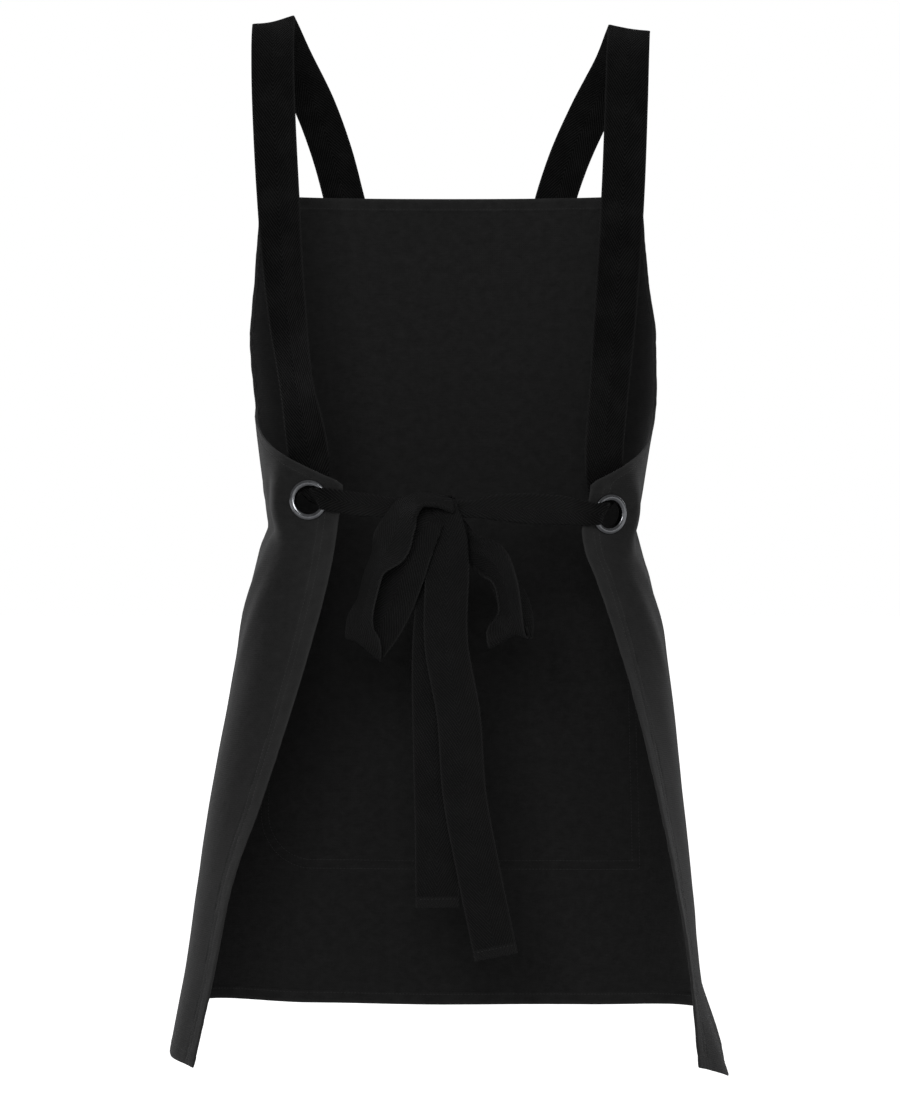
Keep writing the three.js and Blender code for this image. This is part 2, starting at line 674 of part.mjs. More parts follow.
// Tails of the bow: down is a share of the tail's length, across, out and wide are shares of webWidth
const tailColumns = ['down', 'across', 'out', 'wide', 'turn'];
const tails = {
  left: {
    length: shortTail,
    rows: table(tailColumns, [
      [0.01, 0, -0.1, 0.42, 20],
      [0.06, -0.06, -0.14, 0.65, 10],
      [0.16, -0.14, -0.12, 1, 4],
      [0.36, -0.28, -0.1, 1, 0],
      [0.6, -0.26, -0.08, 1, 2],
      [0.8, -0.22, -0.08, 1, 1],
      [1, -0.2, -0.08, 1, -3],
    ]),
  },
  right: {
    length: longTail,
    rows: table(tailColumns, [
      [0.01, 0.08, 0.14, 0.4, -20],
      [0.06, 0.08, 0.2, 0.68, -10],
      [0.15, 0.02, 0.18, 1, 0],
      [0.3, 0, 0.16, 1, 4],
      [0.46, 0.28, 0.16, 1, 7],
      [0.64, 0.42, 0.16, 1, 7],
      [0.82, 0.76, 0.16, 1, 9],
      [1, 1.14, 0.16, 1, 12],
    ]),
  },
};

function makeTail(name) {
  const { length, rows } = tails[name];
  const size = new THREE.Vector3(webWidth, -webWidth, -length);
  const stations = rows.map((row) => ({
    at: new THREE.Vector3(row.across, row.out, row.down).multiply(size).add(knotCentre),
    across: acrossBy(row.turn, 0),
    wide: row.wide * webWidth,
    wall: webWall,
  }));
  // The folded hem at the end is twice as thick
  const end = stations[stations.length - 1];
  const before = stations[stations.length - 2];
  const hemStart = end.at.clone().lerp(before.at, tailHem / end.at.distanceTo(before.at));
  stations.splice(stations.length - 1, 0, { ...end, at: hemStart });
  end.wall = webWall * 2;
  addPiece(`bow_tail_${name}`, cutAway(bandGeometry(stations, tailSteps), [knotGeometry(gap)]), webbing);
}

// Eyelet: a rounded flange on the outer face and a barrel through the cloth, rolled over the washer
function makeEyelet(eyelet) {
  const face = clothWall / 2 + gap;
  const back = -(face + washerWall + gap);
  const rim = face + flangeWall - rimRound;
  const profile = [
    [eyeletHole, back - lipWall],
    [barrelRadius + lipWide, back - lipWall],
    [barrelRadius + lipWide, back],
    [barrelRadius, back],
    [barrelRadius, face],
    [eyeletFlange, face],
    [eyeletFlange, rim],
    [eyeletFlange - rimRound, rim + rimRound / 2],
    [(eyeletFlange + eyeletHole) / 2, face + flangeWall],
    [eyeletHole + rimRound, rim + rimRound / 2],
    [eyeletHole, rim],
    [eyeletHole, back - lipWall],
  ];
  addPiece(`eyelet_${eyelet.name}`, seatAtEyelet(ringGeometry(profile), eyelet), metal);
  const washer = [
    [barrelRadius + gap, -face - washerWall],
    [eyeletFlange - washerInset, -face - washerWall],
    [eyeletFlange - washerInset, -face],
    [barrelRadius + gap, -face],
    [barrelRadius + gap, -face - washerWall],
  ];
  addPiece(`eyelet_washer_${eyelet.name}`, seatAtEyelet(ringGeometry(washer), eyelet), metal);
}

// A ring round the Y axis from a closed profile of radii and heights
function ringGeometry(profile) {
  return closeSeam(new THREE.LatheGeometry(profile.map(([x, y]) => new THREE.Vector2(x, y)), roundSides));
}

function closeSeam(geometry) {
  geometry.deleteAttribute('normal');
  geometry.deleteAttribute('uv');
  return facingOut(mergeVertices(geometry, 1e-4));
}

makePanel();
makePocket();
for (const eyelet of eyelets) makeStrap(eyelet);
for (const name of ['left', 'right']) {
  makeLoop(name);
  makeTail(name);
}
addPiece('bow_knot', closeSeam(knotGeometry(0)), webbing);
for (const eyelet of eyelets) makeEyelet(eyelet);

export default apron;
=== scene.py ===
import math

import bpy
import numpy as np
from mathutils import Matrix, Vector, noise


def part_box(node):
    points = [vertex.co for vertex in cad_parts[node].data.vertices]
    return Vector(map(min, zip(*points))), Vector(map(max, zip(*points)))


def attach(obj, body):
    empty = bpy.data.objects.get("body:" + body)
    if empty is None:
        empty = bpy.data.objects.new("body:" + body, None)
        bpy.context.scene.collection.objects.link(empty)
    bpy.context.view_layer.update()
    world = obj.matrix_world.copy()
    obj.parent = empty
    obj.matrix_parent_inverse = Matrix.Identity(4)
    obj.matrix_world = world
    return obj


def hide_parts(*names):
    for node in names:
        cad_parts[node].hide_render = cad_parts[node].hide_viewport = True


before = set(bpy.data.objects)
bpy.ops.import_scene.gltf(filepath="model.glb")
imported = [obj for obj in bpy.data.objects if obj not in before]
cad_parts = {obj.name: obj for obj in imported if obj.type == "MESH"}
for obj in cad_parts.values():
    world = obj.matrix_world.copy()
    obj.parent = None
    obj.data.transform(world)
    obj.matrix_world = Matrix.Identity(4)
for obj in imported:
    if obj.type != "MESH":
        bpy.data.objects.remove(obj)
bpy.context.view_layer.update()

mm = 0.001


# A table as named columns
def makeTable(names, rows):
    return {name: np.array(column, float) for name, column in zip(names.split(), zip(*rows))}


def tableRows(table):
    return [dict(zip(table, map(float, row))) for row in zip(*table.values())]


# The canvas, as it is cut and as it hangs
canvas = {
    "strapRise": 156, "panelDrop": 795, "hipHalf": 262, "frontReach": 125, "backReach": 132,
    "hemSag": 42, "waistDrop": 0.406, "wingTurn": 0.35,
    "wall": 1.5, "foldWall": 1.1,           # one layer, and what the folded hem adds on the inner face
    "cell": 4.7, "gridReach": 430,          # spacing of the modelled grid, and the reach it is counted on
    "armholeShare": 0.45, "armholeEnd": 0.357,
}
# Width of each hem, and how far in from the edge its seams lie
hems = {"top": (12, [10.4]), "bottom": (12.5, [10.6]), "side": (20, [12.6, 18.2])}
# Width and depth of the groove that a seam leaves, height of the puckers, and how far thread stands out
sewing = {"width": 1.2, "sink": 0.3, "innerSink": 0.35, "pucker": 0.42, "lift": 0.12}
handNames = {-1: "left", 1: "right"}
# Centre front to widest place. drop: share of panelDrop; left, right: of hipHalf; side, front: of frontReach
frontForm = makeTable("drop left right side front square", [
    [0, 0.7, 0.706, 0.48, 0.86, 2.2],
    [0.1, 0.719, 0.726, 0.38, 0.94, 2.2],
    [0.18, 0.733, 0.752, 0.25, 0.98, 2.2],
    [0.25, 0.712, 0.751, 0.12, 0.98, 2.2],
    [0.3, 0.694, 0.724, 0.04, 0.96, 2.25],
    [0.355, 0.67, 0.694, -0.03, 0.94, 2.3],
    [0.406, 0.65, 0.667, -0.06, 0.92, 2.3],
    [0.43, 0.675, 0.688, -0.06, 0.93, 2.3],
    [0.46, 0.701, 0.714, -0.08, 0.94, 2.35],
    [0.52, 0.743, 0.76, -0.1, 0.97, 2.4],
    [0.6, 0.789, 0.799, -0.12, 1, 2.5],
    [0.7, 0.847, 0.835, -0.14, 1.02, 2.6],
    [0.8, 0.895, 0.868, -0.16, 1.03, 2.7],
    [0.9, 0.94, 0.898, -0.19, 1.04, 2.8],
    [1, 1, 0.995, -0.25, 1.04, 2.9],
])
# Widest place to back edge. left, right: back edge, of hipHalf; curl and tuck shape the turn
wingForm = makeTable("drop left right curlLeft curlRight tuckLeft tuckRight", [
    [0, 0.36, 0.48, 0, 0.12, 0.9, 0.8],
    [0.3, 0.36, 0.48, 0, 0.12, 0.9, 0.8],
    [0.355, 0.365, 0.48, 0, 0.12, 0.9, 0.8],
    [0.406, 0.388, 0.449, 0.02, 0.12, 0.9, 0.8],
    [0.43, 0.402, 0.47, 0.05, 0.16, 0.86, 0.77],
    [0.46, 0.421, 0.505, 0.09, 0.2, 0.82, 0.74],
    [0.52, 0.469, 0.57, 0.16, 0.27, 0.75, 0.7],
    [0.6, 0.542, 0.645, 0.24, 0.33, 0.68, 0.66],
    [0.7, 0.645, 0.723, 0.3, 0.38, 0.63, 0.62],
    [0.8, 0.756, 0.789, 0.34, 0.4, 0.6, 0.6],
    [0.9, 0.822, 0.841, 0.37, 0.4, 0.6, 0.6],
    [1, 0.892, 0.866, 0.4, 0.4, 0.6, 0.6],
])
# The cut edge: 1 at the widest place of the section, 2 at its back end
cutEdge = makeTable("drop left right", [
    [0, 1, 1], [0.26, 1, 1], [0.279, 1.22, 1.1], [0.29, 1.34, 1.22], [0.305, 1.5, 1.42],
    [0.323, 1.68, 1.66], [0.341, 1.85, 1.85], [0.357, 2, 2], [1, 2, 2],
])
# How far the hem hangs below the centre front, of hemSag. round: -1 and 1 at the back edges
sagRound = makeTable("round sag", [
    [-1, 0.5], [-0.77, 0.38], [-0.56, -0.34], [-0.3, -0.08], [0, 0],
    [0.3, -0.04], [0.56, -0.18], [0.77, 1], [1, 0.5],
])


# A smooth curve through a column of a table, which never overshoots its rows
def readColumn(rows, column, keys):
    x = next(iter(rows.values()))
    y = rows[column]
    slope = np.diff(y) / np.diff(x)
    total = slope[:-1] + slope[1:]
    product = slope[:-1] * slope[1:]
    middle = np.where(product > 0, 2 * product / np.where(total == 0, 1, total), 0)
    leave = np.concatenate([slope[:1], middle, slope[-1:]])
    arrive = leave.copy()
    for i in np.flatnonzero(x[1:-1] == canvas["waistDrop"]) + 1:  # a crease stays sharp at the waist
        leave[i], arrive[i] = slope[i], slope[i - 1]
    k = np.clip(keys, x[0], x[-1])
    i = np.clip(np.searchsorted(x, k, side="right") - 1, 0, len(x) - 2)
    span = x[i + 1] - x[i]
    f = (k - x[i]) / span
    rise = y[i + 1] * (3 * f**2 - 2 * f**3) + arrive[i + 1] * span * (f**3 - f**2)
    return y[i] * (2 * f**3 - 3 * f**2 + 1) + leave[i] * span * (f**3 - 2 * f**2 + f) + rise


sectionSteps = 60
sections = {}


# Half of one level section in plan: its points, the distance along them, and the widest and back places
def halfSection(drop, hand):
    key = (hand, round(float(drop), 7))
    if key in sections:
        return sections[key]
    read = lambda rows, column: float(readColumn(rows, column, drop))
    side = handNames[hand]
    sideX = hand * canvas["hipHalf"] * read(frontForm, side)
    sideY = canvas["frontReach"] * read(frontForm, "side")
    frontY = canvas["frontReach"] * read(frontForm, "front")
    power = 2 / read(frontForm, "square")
    backX = hand * canvas["hipHalf"] * read(wingForm, side)
    backY = -canvas["backReach"]
    curl, tuck = [read(wingForm, column + side.capitalize()) for column in ("curl", "tuck")]
    a = np.linspace(0, math.pi / 2, sectionSteps + 1)
    frontX = sideX * np.sin(a) ** power
    frontDepth = sideY + (frontY - sideY) * np.maximum(np.cos(a), 0) ** power
    t = np.linspace(0, 1, sectionSteps + 1)[1:, None]
    corners = np.array([
        [sideX, sideY],
        [sideX, sideY + tuck * (backY - sideY)],
        [sideX + canvas["wingTurn"] * (backX - sideX), backY + curl * (sideY - backY)],
        [backX, backY],
    ])
    wing = (
        corners[0] * (1 - t) ** 3 + 3 * corners[1] * t * (1 - t) ** 2
        + 3 * corners[2] * t**2 * (1 - t) + corners[3] * t**3
    )
    points = np.vstack([np.stack([frontX, frontDepth], 1), wing])
    along = lengthAlong(points)
    sections[key] = (points, along, along[sectionSteps], along[-1])
    return sections[key]


# Distance along the cloth from the centre front to a place on the section
def arcAt(drop, hand, place):
    _, _, sideArc, backArc = halfSection(drop, hand)
    return place * sideArc if place <= 1 else sideArc + (place - 1) * (backArc - sideArc)


# Points on the middle of the cloth for several distances along one level
def formRow(arcs, drop):
    level = min(max(drop, 0), 1)
    row = np.zeros((len(arcs), 3))
    for hand in (-1, 1):
        pick = arcs < 0 if hand < 0 else arcs >= 0
        points, along, _, backArc = halfSection(level, hand)
        s = np.abs(arcs[pick])
        row[pick, 0] = np.interp(s, along, points[:, 0])
        row[pick, 1] = np.interp(s, along, points[:, 1])
        sag = readColumn(sagRound, "sag", arcs[pick] / backArc)
        row[pick, 2] = (
            -canvas["strapRise"] - canvas["panelDrop"] * drop - canvas["hemSag"] * sag * level**2
        )
    return row


# Middle and outward direction of an eyelet, from its solid in the frame
def eyeletPlace(node):
    points = np.array([v.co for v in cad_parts[node].data.vertices]) / mm
    _, _, axes = np.linalg.svd(points - points.mean(0), full_matrices=False)
    out = axes[2] * (-1 if axes[2][1] > 0 else 1)
    return {"centre": (points.min(0) + points.max(0)) / 2, "out": out}


eyelets = {hand: eyeletPlace("eyelet_" + name) for hand, name in handNames.items()}
eyeletForm = {
    "hole": 12.8, "flange": 18.4, "rise": 2.2, "barrel": 0.8, "flat": 10,
    "washer": 1.0, "inset": 0.6, "lip": 1.6, "lipWall": 0.9, "clothWall": 1.6, "gap": 0.3,
    "turns": 96,
}


def smooth(low, high, value):
    f = np.clip((value - low) / (high - low), 0, 1)
    return f * f * (3 - 2 * f)


# 1 on a line, falling off within about a width of it
def near(distance, width):
    return np.exp(-((distance / width) ** 2))


def nearest(values, value):
    return int(np.argmin(np.abs(values - value)))


def unit(v):
    return v / np.linalg.norm(v, axis=-1, keepdims=True)


# Distance along a path at each of its points
def lengthAlong(path):
    return np.concatenate([[0], np.cumsum(np.linalg.norm(np.diff(path, axis=0), axis=1))])


# The place on a path at one distance along it, or at several
def pointAt(at, along, path):
    return np.stack([np.interp(at, along, path[:, i]) for i in range(3)], -1)


# Smooth noise from about -1 to 1, at one place or at many
ripple = np.vectorize(lambda x, y, z: noise.noise(Vector((x, y, z))), otypes=[float])


# Cloth round an eyelet is held flat by its flange
def holdFlat(points):
    reach = eyeletForm["flange"] + eyeletForm["flat"]
    for eyelet in eyelets.values():
        away = points - eyelet["centre"]
        distance = np.linalg.norm(away, axis=-1)
        hold = 1 - smooth(reach, reach + 3 * eyeletForm["flat"], distance)
        points = points - eyelet["out"] * (away @ eyelet["out"] * hold)[..., None]
    return points


# A place on the plain form of the cloth, which goes on past the cut edge, with directions across and out
def onForm(arc, drop):
    step = 2
    at = holdFlat(formRow(np.array([arc - step, arc, arc + step]), drop))
    below = holdFlat(formRow(np.array([arc]), drop + step / canvas["panelDrop"]))
    across = at[2] - at[0]
    return at[1], unit(across), unit(np.cross(across, below[0] - at[1]))


def clear():
    bpy.ops.object.select_all(action="DESELECT")


def select(o):
    clear()
    o.select_set(True)
    bpy.context.view_layer.objects.active = o


def newObject(name, data):
    o = bpy.data.objects.new(name, data)
    bpy.context.collection.objects.link(o)
    return o


# A mesh object from points in millimetres. flat: places on the cloth's pattern, its UV map. Paleness, 0 to
# 1: wear, with painted light on the bow's webbing and painted shade on the lower wings
def meshPiece(name, points, faces, material, flat=None, wearAndPaintedLight=None):
    mesh = bpy.data.meshes.new(name)
    mesh.from_pydata((points * mm).tolist(), [], faces)
    if flat is not None:
        loops = np.zeros(len(mesh.loops), int)
        mesh.loops.foreach_get("vertex_index", loops)
        layer = mesh.uv_layers.new(name="flat")
        layer.data.foreach_set("uv", (flat[loops] * mm).astype(np.float32).ravel())
        attribute = mesh.attributes.new("wearAndPaintedLight", "FLOAT", "POINT")
        attribute.data.foreach_set("value", wearAndPaintedLight.astype(np.float32))
    mesh.polygons.foreach_set("use_smooth", [True] * len(mesh.polygons))
    mesh.materials.append(material)
    o = newObject(name, mesh)
    select(o)
    bpy.ops.object.mode_set(mode="EDIT")
    bpy.ops.mesh.select_all(action="SELECT")
    bpy.ops.mesh.normals_make_consistent(inside=False)
    bpy.ops.object.mode_set(mode="OBJECT")
    return o


# Faces of a closed wall whose outer and inner grids follow each other in one list of points
def wallFaces(rows, columns):
    outer, inner = np.arange(2 * rows * columns).reshape(2, rows, columns)
    quads = []
    for layer, way in ((outer, 1), (inner, -1)):
        corners = [layer[:-1, :-1], layer[1:, :-1], layer[1:, 1:], layer[:-1, 1:]]
        quads.append(np.stack(corners, -1).reshape(-1, 4)[:, ::way])
    for edge in (np.s_[0], np.s_[-1, ::-1], np.s_[::-1, 0], np.s_[:, -1]):
        a, b = outer[edge], inner[edge]
        quads.append(np.stack([a[:-1], a[1:], b[1:], b[:-1]], -1))
    return np.concatenate(quads).tolist()


# A closed wall of cloth between two grids of points that share one grid of pattern places and of paleness,
# from wear and painted light
def clothPiece(name, outer, inner, flat, wearAndPaintedLight, material):
    points = np.concatenate([outer.reshape(-1, 3), inner.reshape(-1, 3)])
    faces = wallFaces(*wearAndPaintedLight.shape)
    flat, wearAndPaintedLight = np.tile(flat.reshape(-1, 2), (2, 1)), np.tile(wearAndPaintedLight.ravel(), 2)
    return meshPiece(name, points, faces, material, flat, wearAndPaintedLight)


# Directions out of a grid of points, away from the wearer
def gridNormals(grid):
    out = np.cross(np.gradient(grid, axis=1), np.gradient(grid, axis=0))
    return out / np.maximum(np.linalg.norm(out, axis=-1, keepdims=True), 1e-9)


# One node with its settings, and its inputs: values, sockets, or nodes for their first outputs
def addNode(tree, kind, inputs=None, **settings):
    node = tree.nodes.new("ShaderNode" + kind)
    node.location = (180 * len(tree.nodes), 0)
    for key, value in settings.items():
        setattr(node, key, value)
    for key, value in (inputs or {}).items():
        if isinstance(value, bpy.types.Node):
            value = value.outputs[0]
        if isinstance(value, bpy.types.NodeSocket):
            tree.links.new(value, node.inputs[key])
        else:
            node.inputs[key].default_value = value
    return node


def linear(code):
    values = [int(code[i:i + 2], 16) / 255 for i in (1, 3, 5)]
    return [v / 12.92 if v <= 0.04045 else ((v + 0.055) / 1.055) ** 2.4 for v in values] + [1]


# A material whose shader gets the inputs that a function makes in its tree
def makeMaterial(name, surface):
    material = bpy.data.materials.new(name)
    material.use_nodes = True
    tree = material.node_tree
    tree.nodes.clear()
    shader = addNode(tree, "BsdfPrincipled", surface(tree))
    addNode(tree, "OutputMaterial", {"Surface": shader})
    return material


# Wave texture scale for a repeat in millimetres: its bands repeat every pi / 10 of a unit
def bandScale(period):
    return math.pi / 10 / (period * mm)


# Washed black cotton canvas, plain weave: dry and dull, mottled where the dye has worn, paler on folds.
# thread, mottle and slub are in millimetres. The real threads are finer: these are as coarse as shows.
canvasLook = {
    # The pale tone is that of rubbed edges, hems and seams, and of the band along the wings' back edges,
    # which is painted dimmer near the hem as painted shade
    "dark": "#111111", "light": "#1a1a1a", "worn": "#262626", "thread": 1.8, "mottle": 9, "slub": (7, 2),
    "bump": 0.3, "roughness": 0.9, "specular": 0.12, "sheen": 0.1, "sheenTint": "#c9c9cb",
}


def canvasSurface(tree):
    look = canvasLook
    uv = addNode(tree, "UVMap", uv_map="flat")
    wearAndPaintedLight = addNode(tree, "Attribute", attribute_name="wearAndPaintedLight")
    mottle = addNode(tree, "TexNoise", {
        "Vector": uv, "Scale": 1 / (look["mottle"] * mm), "Detail": 6, "Roughness": 0.72,
    })
    stretched = addNode(tree, "Mapping", {
        "Vector": uv, "Scale": (1 / look["slub"][0] / mm, 1 / look["slub"][1] / mm, 1),
    })
    slubs = addNode(tree, "TexNoise", {"Vector": stretched, "Scale": 1, "Detail": 3, "Roughness": 0.6})
    shade = addNode(tree, "Math", {0: slubs, 1: 0.45, 2: mottle}, operation="MULTIPLY_ADD")
    ramp = addNode(tree, "MapRange", {"Value": shade, "From Min": 0.55, "From Max": 0.95})
    tone = addNode(tree, "Mix", {
        0: ramp, 6: linear(look["dark"]), 7: linear(look["light"]),
    }, data_type="RGBA")
    paler = addNode(tree, "Mix", {
        0: wearAndPaintedLight.outputs["Fac"], 6: tone.outputs[2], 7: linear(look["worn"]),
    }, data_type="RGBA")
    warp, weft = [addNode(tree, "TexWave", {
        "Vector": uv, "Scale": bandScale(look["thread"]), "Distortion": 0.6, "Detail": 1,
    }, bands_direction=way).outputs["Fac"] for way in "XY"]
    weave = addNode(tree, "Math", {0: warp, 1: weft}, operation="MULTIPLY")
    height = addNode(tree, "Math", {0: slubs, 1: 1.6, 2: weave}, operation="MULTIPLY_ADD")
    bump = addNode(tree, "Bump", {"Height": height, "Strength": look["bump"], "Distance": 0.0006})
    return {
        "Base Color": paler.outputs[2], "Roughness": look["roughness"], "Normal": bump,
        "Sheen Weight": look["sheen"], "Sheen Roughness": 0.45, "Sheen Tint": linear(look["sheenTint"]),
        "Specular IOR Level": look["specular"],
    }


# Black herringbone cotton webbing: twill ridges in chevrons, their grooves painted darker as painted shade,
# with a paler selvedge that is a painted edge highlight.
# ridge and grain are in millimetres; grain is that of the fibres, and that of the fading.
webbingLook = {
    # edge is the paler tone: a painted edge highlight at the selvedges, wear at the tails' hems and folds,
    # and painted light over the ties and the bow
    "dark": "#020202", "light": "#141414", "edge": "#1d1d1d", "ridge": 2.5, "steep": 1.7, "grain": (1.4, 30),
    "bump": 1.0, "roughness": 0.85, "specular": 0.05, "sheen": 0.02, "sheenTint": "#c9c9cb",
}


def webbingSurface(tree):
    look = webbingLook
    uv = addNode(tree, "UVMap", uv_map="flat")
    wearAndPaintedLight = addNode(tree, "Attribute", attribute_name="wearAndPaintedLight")
    split = addNode(tree, "SeparateXYZ", {0: uv})
    fromMiddle = addNode(tree, "Math", {0: split}, operation="ABSOLUTE")
    slant = addNode(tree, "Math", {
        0: fromMiddle, 1: look["steep"], 2: split.outputs[1],
    }, operation="MULTIPLY_ADD")
    turns = addNode(tree, "Math", {
        0: slant, 1: 2 * math.pi / (look["ridge"] * look["steep"] * mm),
    }, operation="MULTIPLY")
    ridge = addNode(tree, "Math", {0: turns}, operation="SINE")
    fibre, fade = [addNode(tree, "TexNoise", {
        "Vector": uv, "Scale": 1 / (size * mm), "Detail": 3, "Roughness": 0.6,
    }) for size in look["grain"]]
    height = addNode(tree, "Math", {0: ridge, 1: 0.5, 2: fibre}, operation="MULTIPLY_ADD")
    both = addNode(tree, "Math", {0: height, 1: 0.6, 2: fade}, operation="MULTIPLY_ADD")
    # Colour follows the same height as the bump: the twill's grooves are painted darker than its ridges as
    # painted shade, while the fibre and fading noise is the webbing's own tone
    ramp = addNode(tree, "MapRange", {"Value": both, "From Min": 0.55, "From Max": 1.2})
    tone = addNode(tree, "Mix", {
        0: ramp, 6: linear(look["dark"]), 7: linear(look["light"]),
    }, data_type="RGBA")
    paler = addNode(tree, "Mix", {
        0: wearAndPaintedLight.outputs["Fac"], 6: tone.outputs[2], 7: linear(look["edge"]),
    }, data_type="RGBA")
    bump = addNode(tree, "Bump", {"Height": height, "Strength": look["bump"], "Distance": 0.0009})
    return {
        "Base Color": paler.outputs[2], "Roughness": look["roughness"], "Normal": bump,
        "Sheen Weight": look["sheen"], "Sheen Roughness": 0.4, "Sheen Tint": linear(look["sheenTint"]),
        "Specular IOR Level": look["specular"],
    }


# Black polyester sewing thread: tight and slightly glossy, its colour painted paler than the black canvas as
# painted sheen, so its stitches catch the light
def threadSurface(tree):
    place = addNode(tree, "TexCoord").outputs["Object"]
    twist = addNode(tree, "TexNoise", {"Vector": place, "Scale": 1 / (3 * mm), "Detail": 2})
    tone = addNode(tree, "Mix", {0: twist, 6: linear("#1b1b1b"), 7: linear("#2b2b2b")}, data_type="RGBA")
    return {"Base Color": tone.outputs[2], "Roughness": 0.6, "Specular IOR Level": 0.2}


# Nickel-plated steel, stamped and polished: a dark mirror, with faint smudges that dull it here and there
def nickelSurface(tree):
    place = addNode(tree, "TexCoord").outputs["Object"]
    smudge = addNode(tree, "TexNoise", {
        "Vector": place, "Scale": 1 / (6 * mm), "Detail": 4, "Roughness": 0.6,
    })
    rough = addNode(tree, "MapRange", {
        "Value": smudge, "From Min": 0.3, "From Max": 0.7, "To Min": 0.16, "To Max": 0.28,
    })
    tone = addNode(tree, "Mix", {0: smudge, 6: linear("#525355"), 7: linear("#6d6e71")}, data_type="RGBA")
    return {"Base Color": tone.outputs[2], "Metallic": 1, "Roughness": rough}


canvasCloth = makeMaterial("washed_cotton_canvas", canvasSurface)
webbing = makeMaterial("herringbone_cotton_webbing", webbingSurface)
thread = makeMaterial("polyester_thread", threadSurface)
nickel = makeMaterial("polished_nickel", nickelSurface)

# The camera stands level behind the wearer
camera = {"back": 3100, "height": -500, "focalPixels": 3263, "longSide": 1098, "sensor": 36}


def placeCamera():
    data = bpy.data.cameras.new("camera")
    data.sensor_width = camera["sensor"]
    data.lens = camera["focalPixels"] * camera["sensor"] / camera["longSide"]
    data.clip_end = 100
    o = newObject("camera", data)
    o.location = (0, -camera["back"] * mm, camera["height"] * mm)
    o.rotation_euler = (math.pi / 2, 0, 0)
    bpy.context.scene.camera = o


placeCamera()

# Stitches: what one is like, and how far apart they are
stitch = {"length": 2.1, "pitch": 3.4, "width": 0.6, "height": 0.36}


# One stitch, a short rounded bar, modelled once at the origin
def makeStitch():
    clear()
    bpy.ops.mesh.primitive_uv_sphere_add(segments=4, ring_count=4, radius=0.5)
    o = bpy.context.active_object
    bpy.ops.object.mode_set(mode="EDIT")
    bpy.ops.mesh.select_all(action="SELECT")
    bpy.ops.transform.rotate(value=math.pi / 4, orient_axis="Z", center_override=(0, 0, 0))
    bpy.ops.object.mode_set(mode="OBJECT")
    points = np.array([v.co for v in o.data.vertices])
    points[:, 2] = np.sign(points[:, 2]) * np.abs(points[:, 2] * 2) ** 0.5 / 2
    faces = [list(p.vertices) for p in o.data.polygons]
    bpy.data.objects.remove(o)
    return points, faces


stitchPoints, stitchFaces = makeStitch()


# One piece of many stitches along lines, each a path of places and the directions out of the cloth there
def sew(name, lines):
    points, faces = [], []
    form = stitchPoints * [stitch["width"], stitch["height"], stitch["length"]]
    half = stitch["length"] / 2
    for line, outs in lines:
        line, outs = np.asarray(line), np.asarray(outs)
        along = lengthAlong(line)
        places = np.arange(stitch["pitch"], along[-1] - stitch["pitch"] / 2, stitch["pitch"])
        run = unit(pointAt(places + half, along, line) - pointAt(places - half, along, line))
        across = unit(np.cross(pointAt(places, along, outs), run))
        up = np.cross(run, across)
        for middle, axes in zip(pointAt(places, along, line), np.stack([across, up, run], 1)):
            count = len(points) * len(form)
            faces += [[i + count for i in face] for face in stitchFaces]
            points.append(middle + form @ axes)
    o = meshPiece(name, np.concatenate(points), faces, thread)
    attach(o, "root")
    return o


# Creases and folds in the canvas. arc, drop: ends in millimetres from the centre front and the top edge
creases = makeTable("arc drop toArc toDrop depth width", [
    [-325, 322, -268, 326, -3, 9],
    [-345, 318, -300, 280, 1.2, 8],
    [-300, 330, -255, 345, 1.0, 12],
    [-330, 345, -285, 430, 2.2, 14],
    [-360, 350, -330, 460, 1.8, 13],
    [-250, 300, -215, 270, 1.6, 14],
    [318, 322, 268, 326, -3, 9],
    [296, 345, 262, 372, 0.7, 9],
    [335, 345, 292, 430, 2.2, 14],
    [360, 350, 340, 470, 1.8, 13],
    [250, 300, 215, 270, 1.0, 14],
    [-120, 430, 60, 446, 0.7, 10],
    [-80, 330, 120, 322, 0.6, 12],
])
# Relief of the canvas: height, size across, how much longer it is down the cloth, and place in the noise
relief = {"broad": (1.1, 110, 1.4, 3.7), "fine": (0.35, 26, 1.2, 8.1), "flute": (1.9, 62, 7, 1.3)}


# How far the canvas stands out of its plain form, by place on the flat cloth
def canvasRelief(arc, depth):
    broad, fine, flute = [
        height * ripple(arc / size, depth / size / stretch, place)
        for height, size, stretch, place in relief.values()
    ]
    rise = broad + fine + flute * np.clip(depth / canvas["panelDrop"] - 0.35, 0, 1)
    for crease in tableRows(creases):
        start = np.array([crease["arc"], crease["drop"]])
        run = np.array([crease["toArc"], crease["toDrop"]]) - start
        length = np.linalg.norm(run)
        offset = np.stack([arc, depth], -1) - start
        share = offset @ run / length**2
        aside = (offset[..., 0] * run[1] - offset[..., 1] * run[0]) / length
        taper = smooth(-0.15, 0.3, share) * (1 - smooth(0.6, 1.15, share))
        rise += crease["depth"] * taper * near(aside, crease["width"])
    return rise


# Places of the grid lines in from an edge: fine where the hem folds and where its seams sink
def edgeLines(hem, seams):
    lines = [0, 0.5, 1.4, hem - 0.5, hem + 0.5, hem + 2, *np.arange(4, hem - 2, 3.2)]
    lines += [s + beside for s in seams for beside in (-1.3, 0, 1.3)]
    kept = []
    for line in sorted(lines):
        if not kept or line - kept[-1] > 0.35:
            kept.append(line)
    return np.array(kept)


pocket = {
    "half": 195, "height": 215, "floor": 132, "round": 58, "corner": 10, "wall": 1.3,
    "seams": (2, 10.5), "mouthHem": 18, "mouthSeam": 15.5, "gap": 0.5, "belly": 3.5,
}


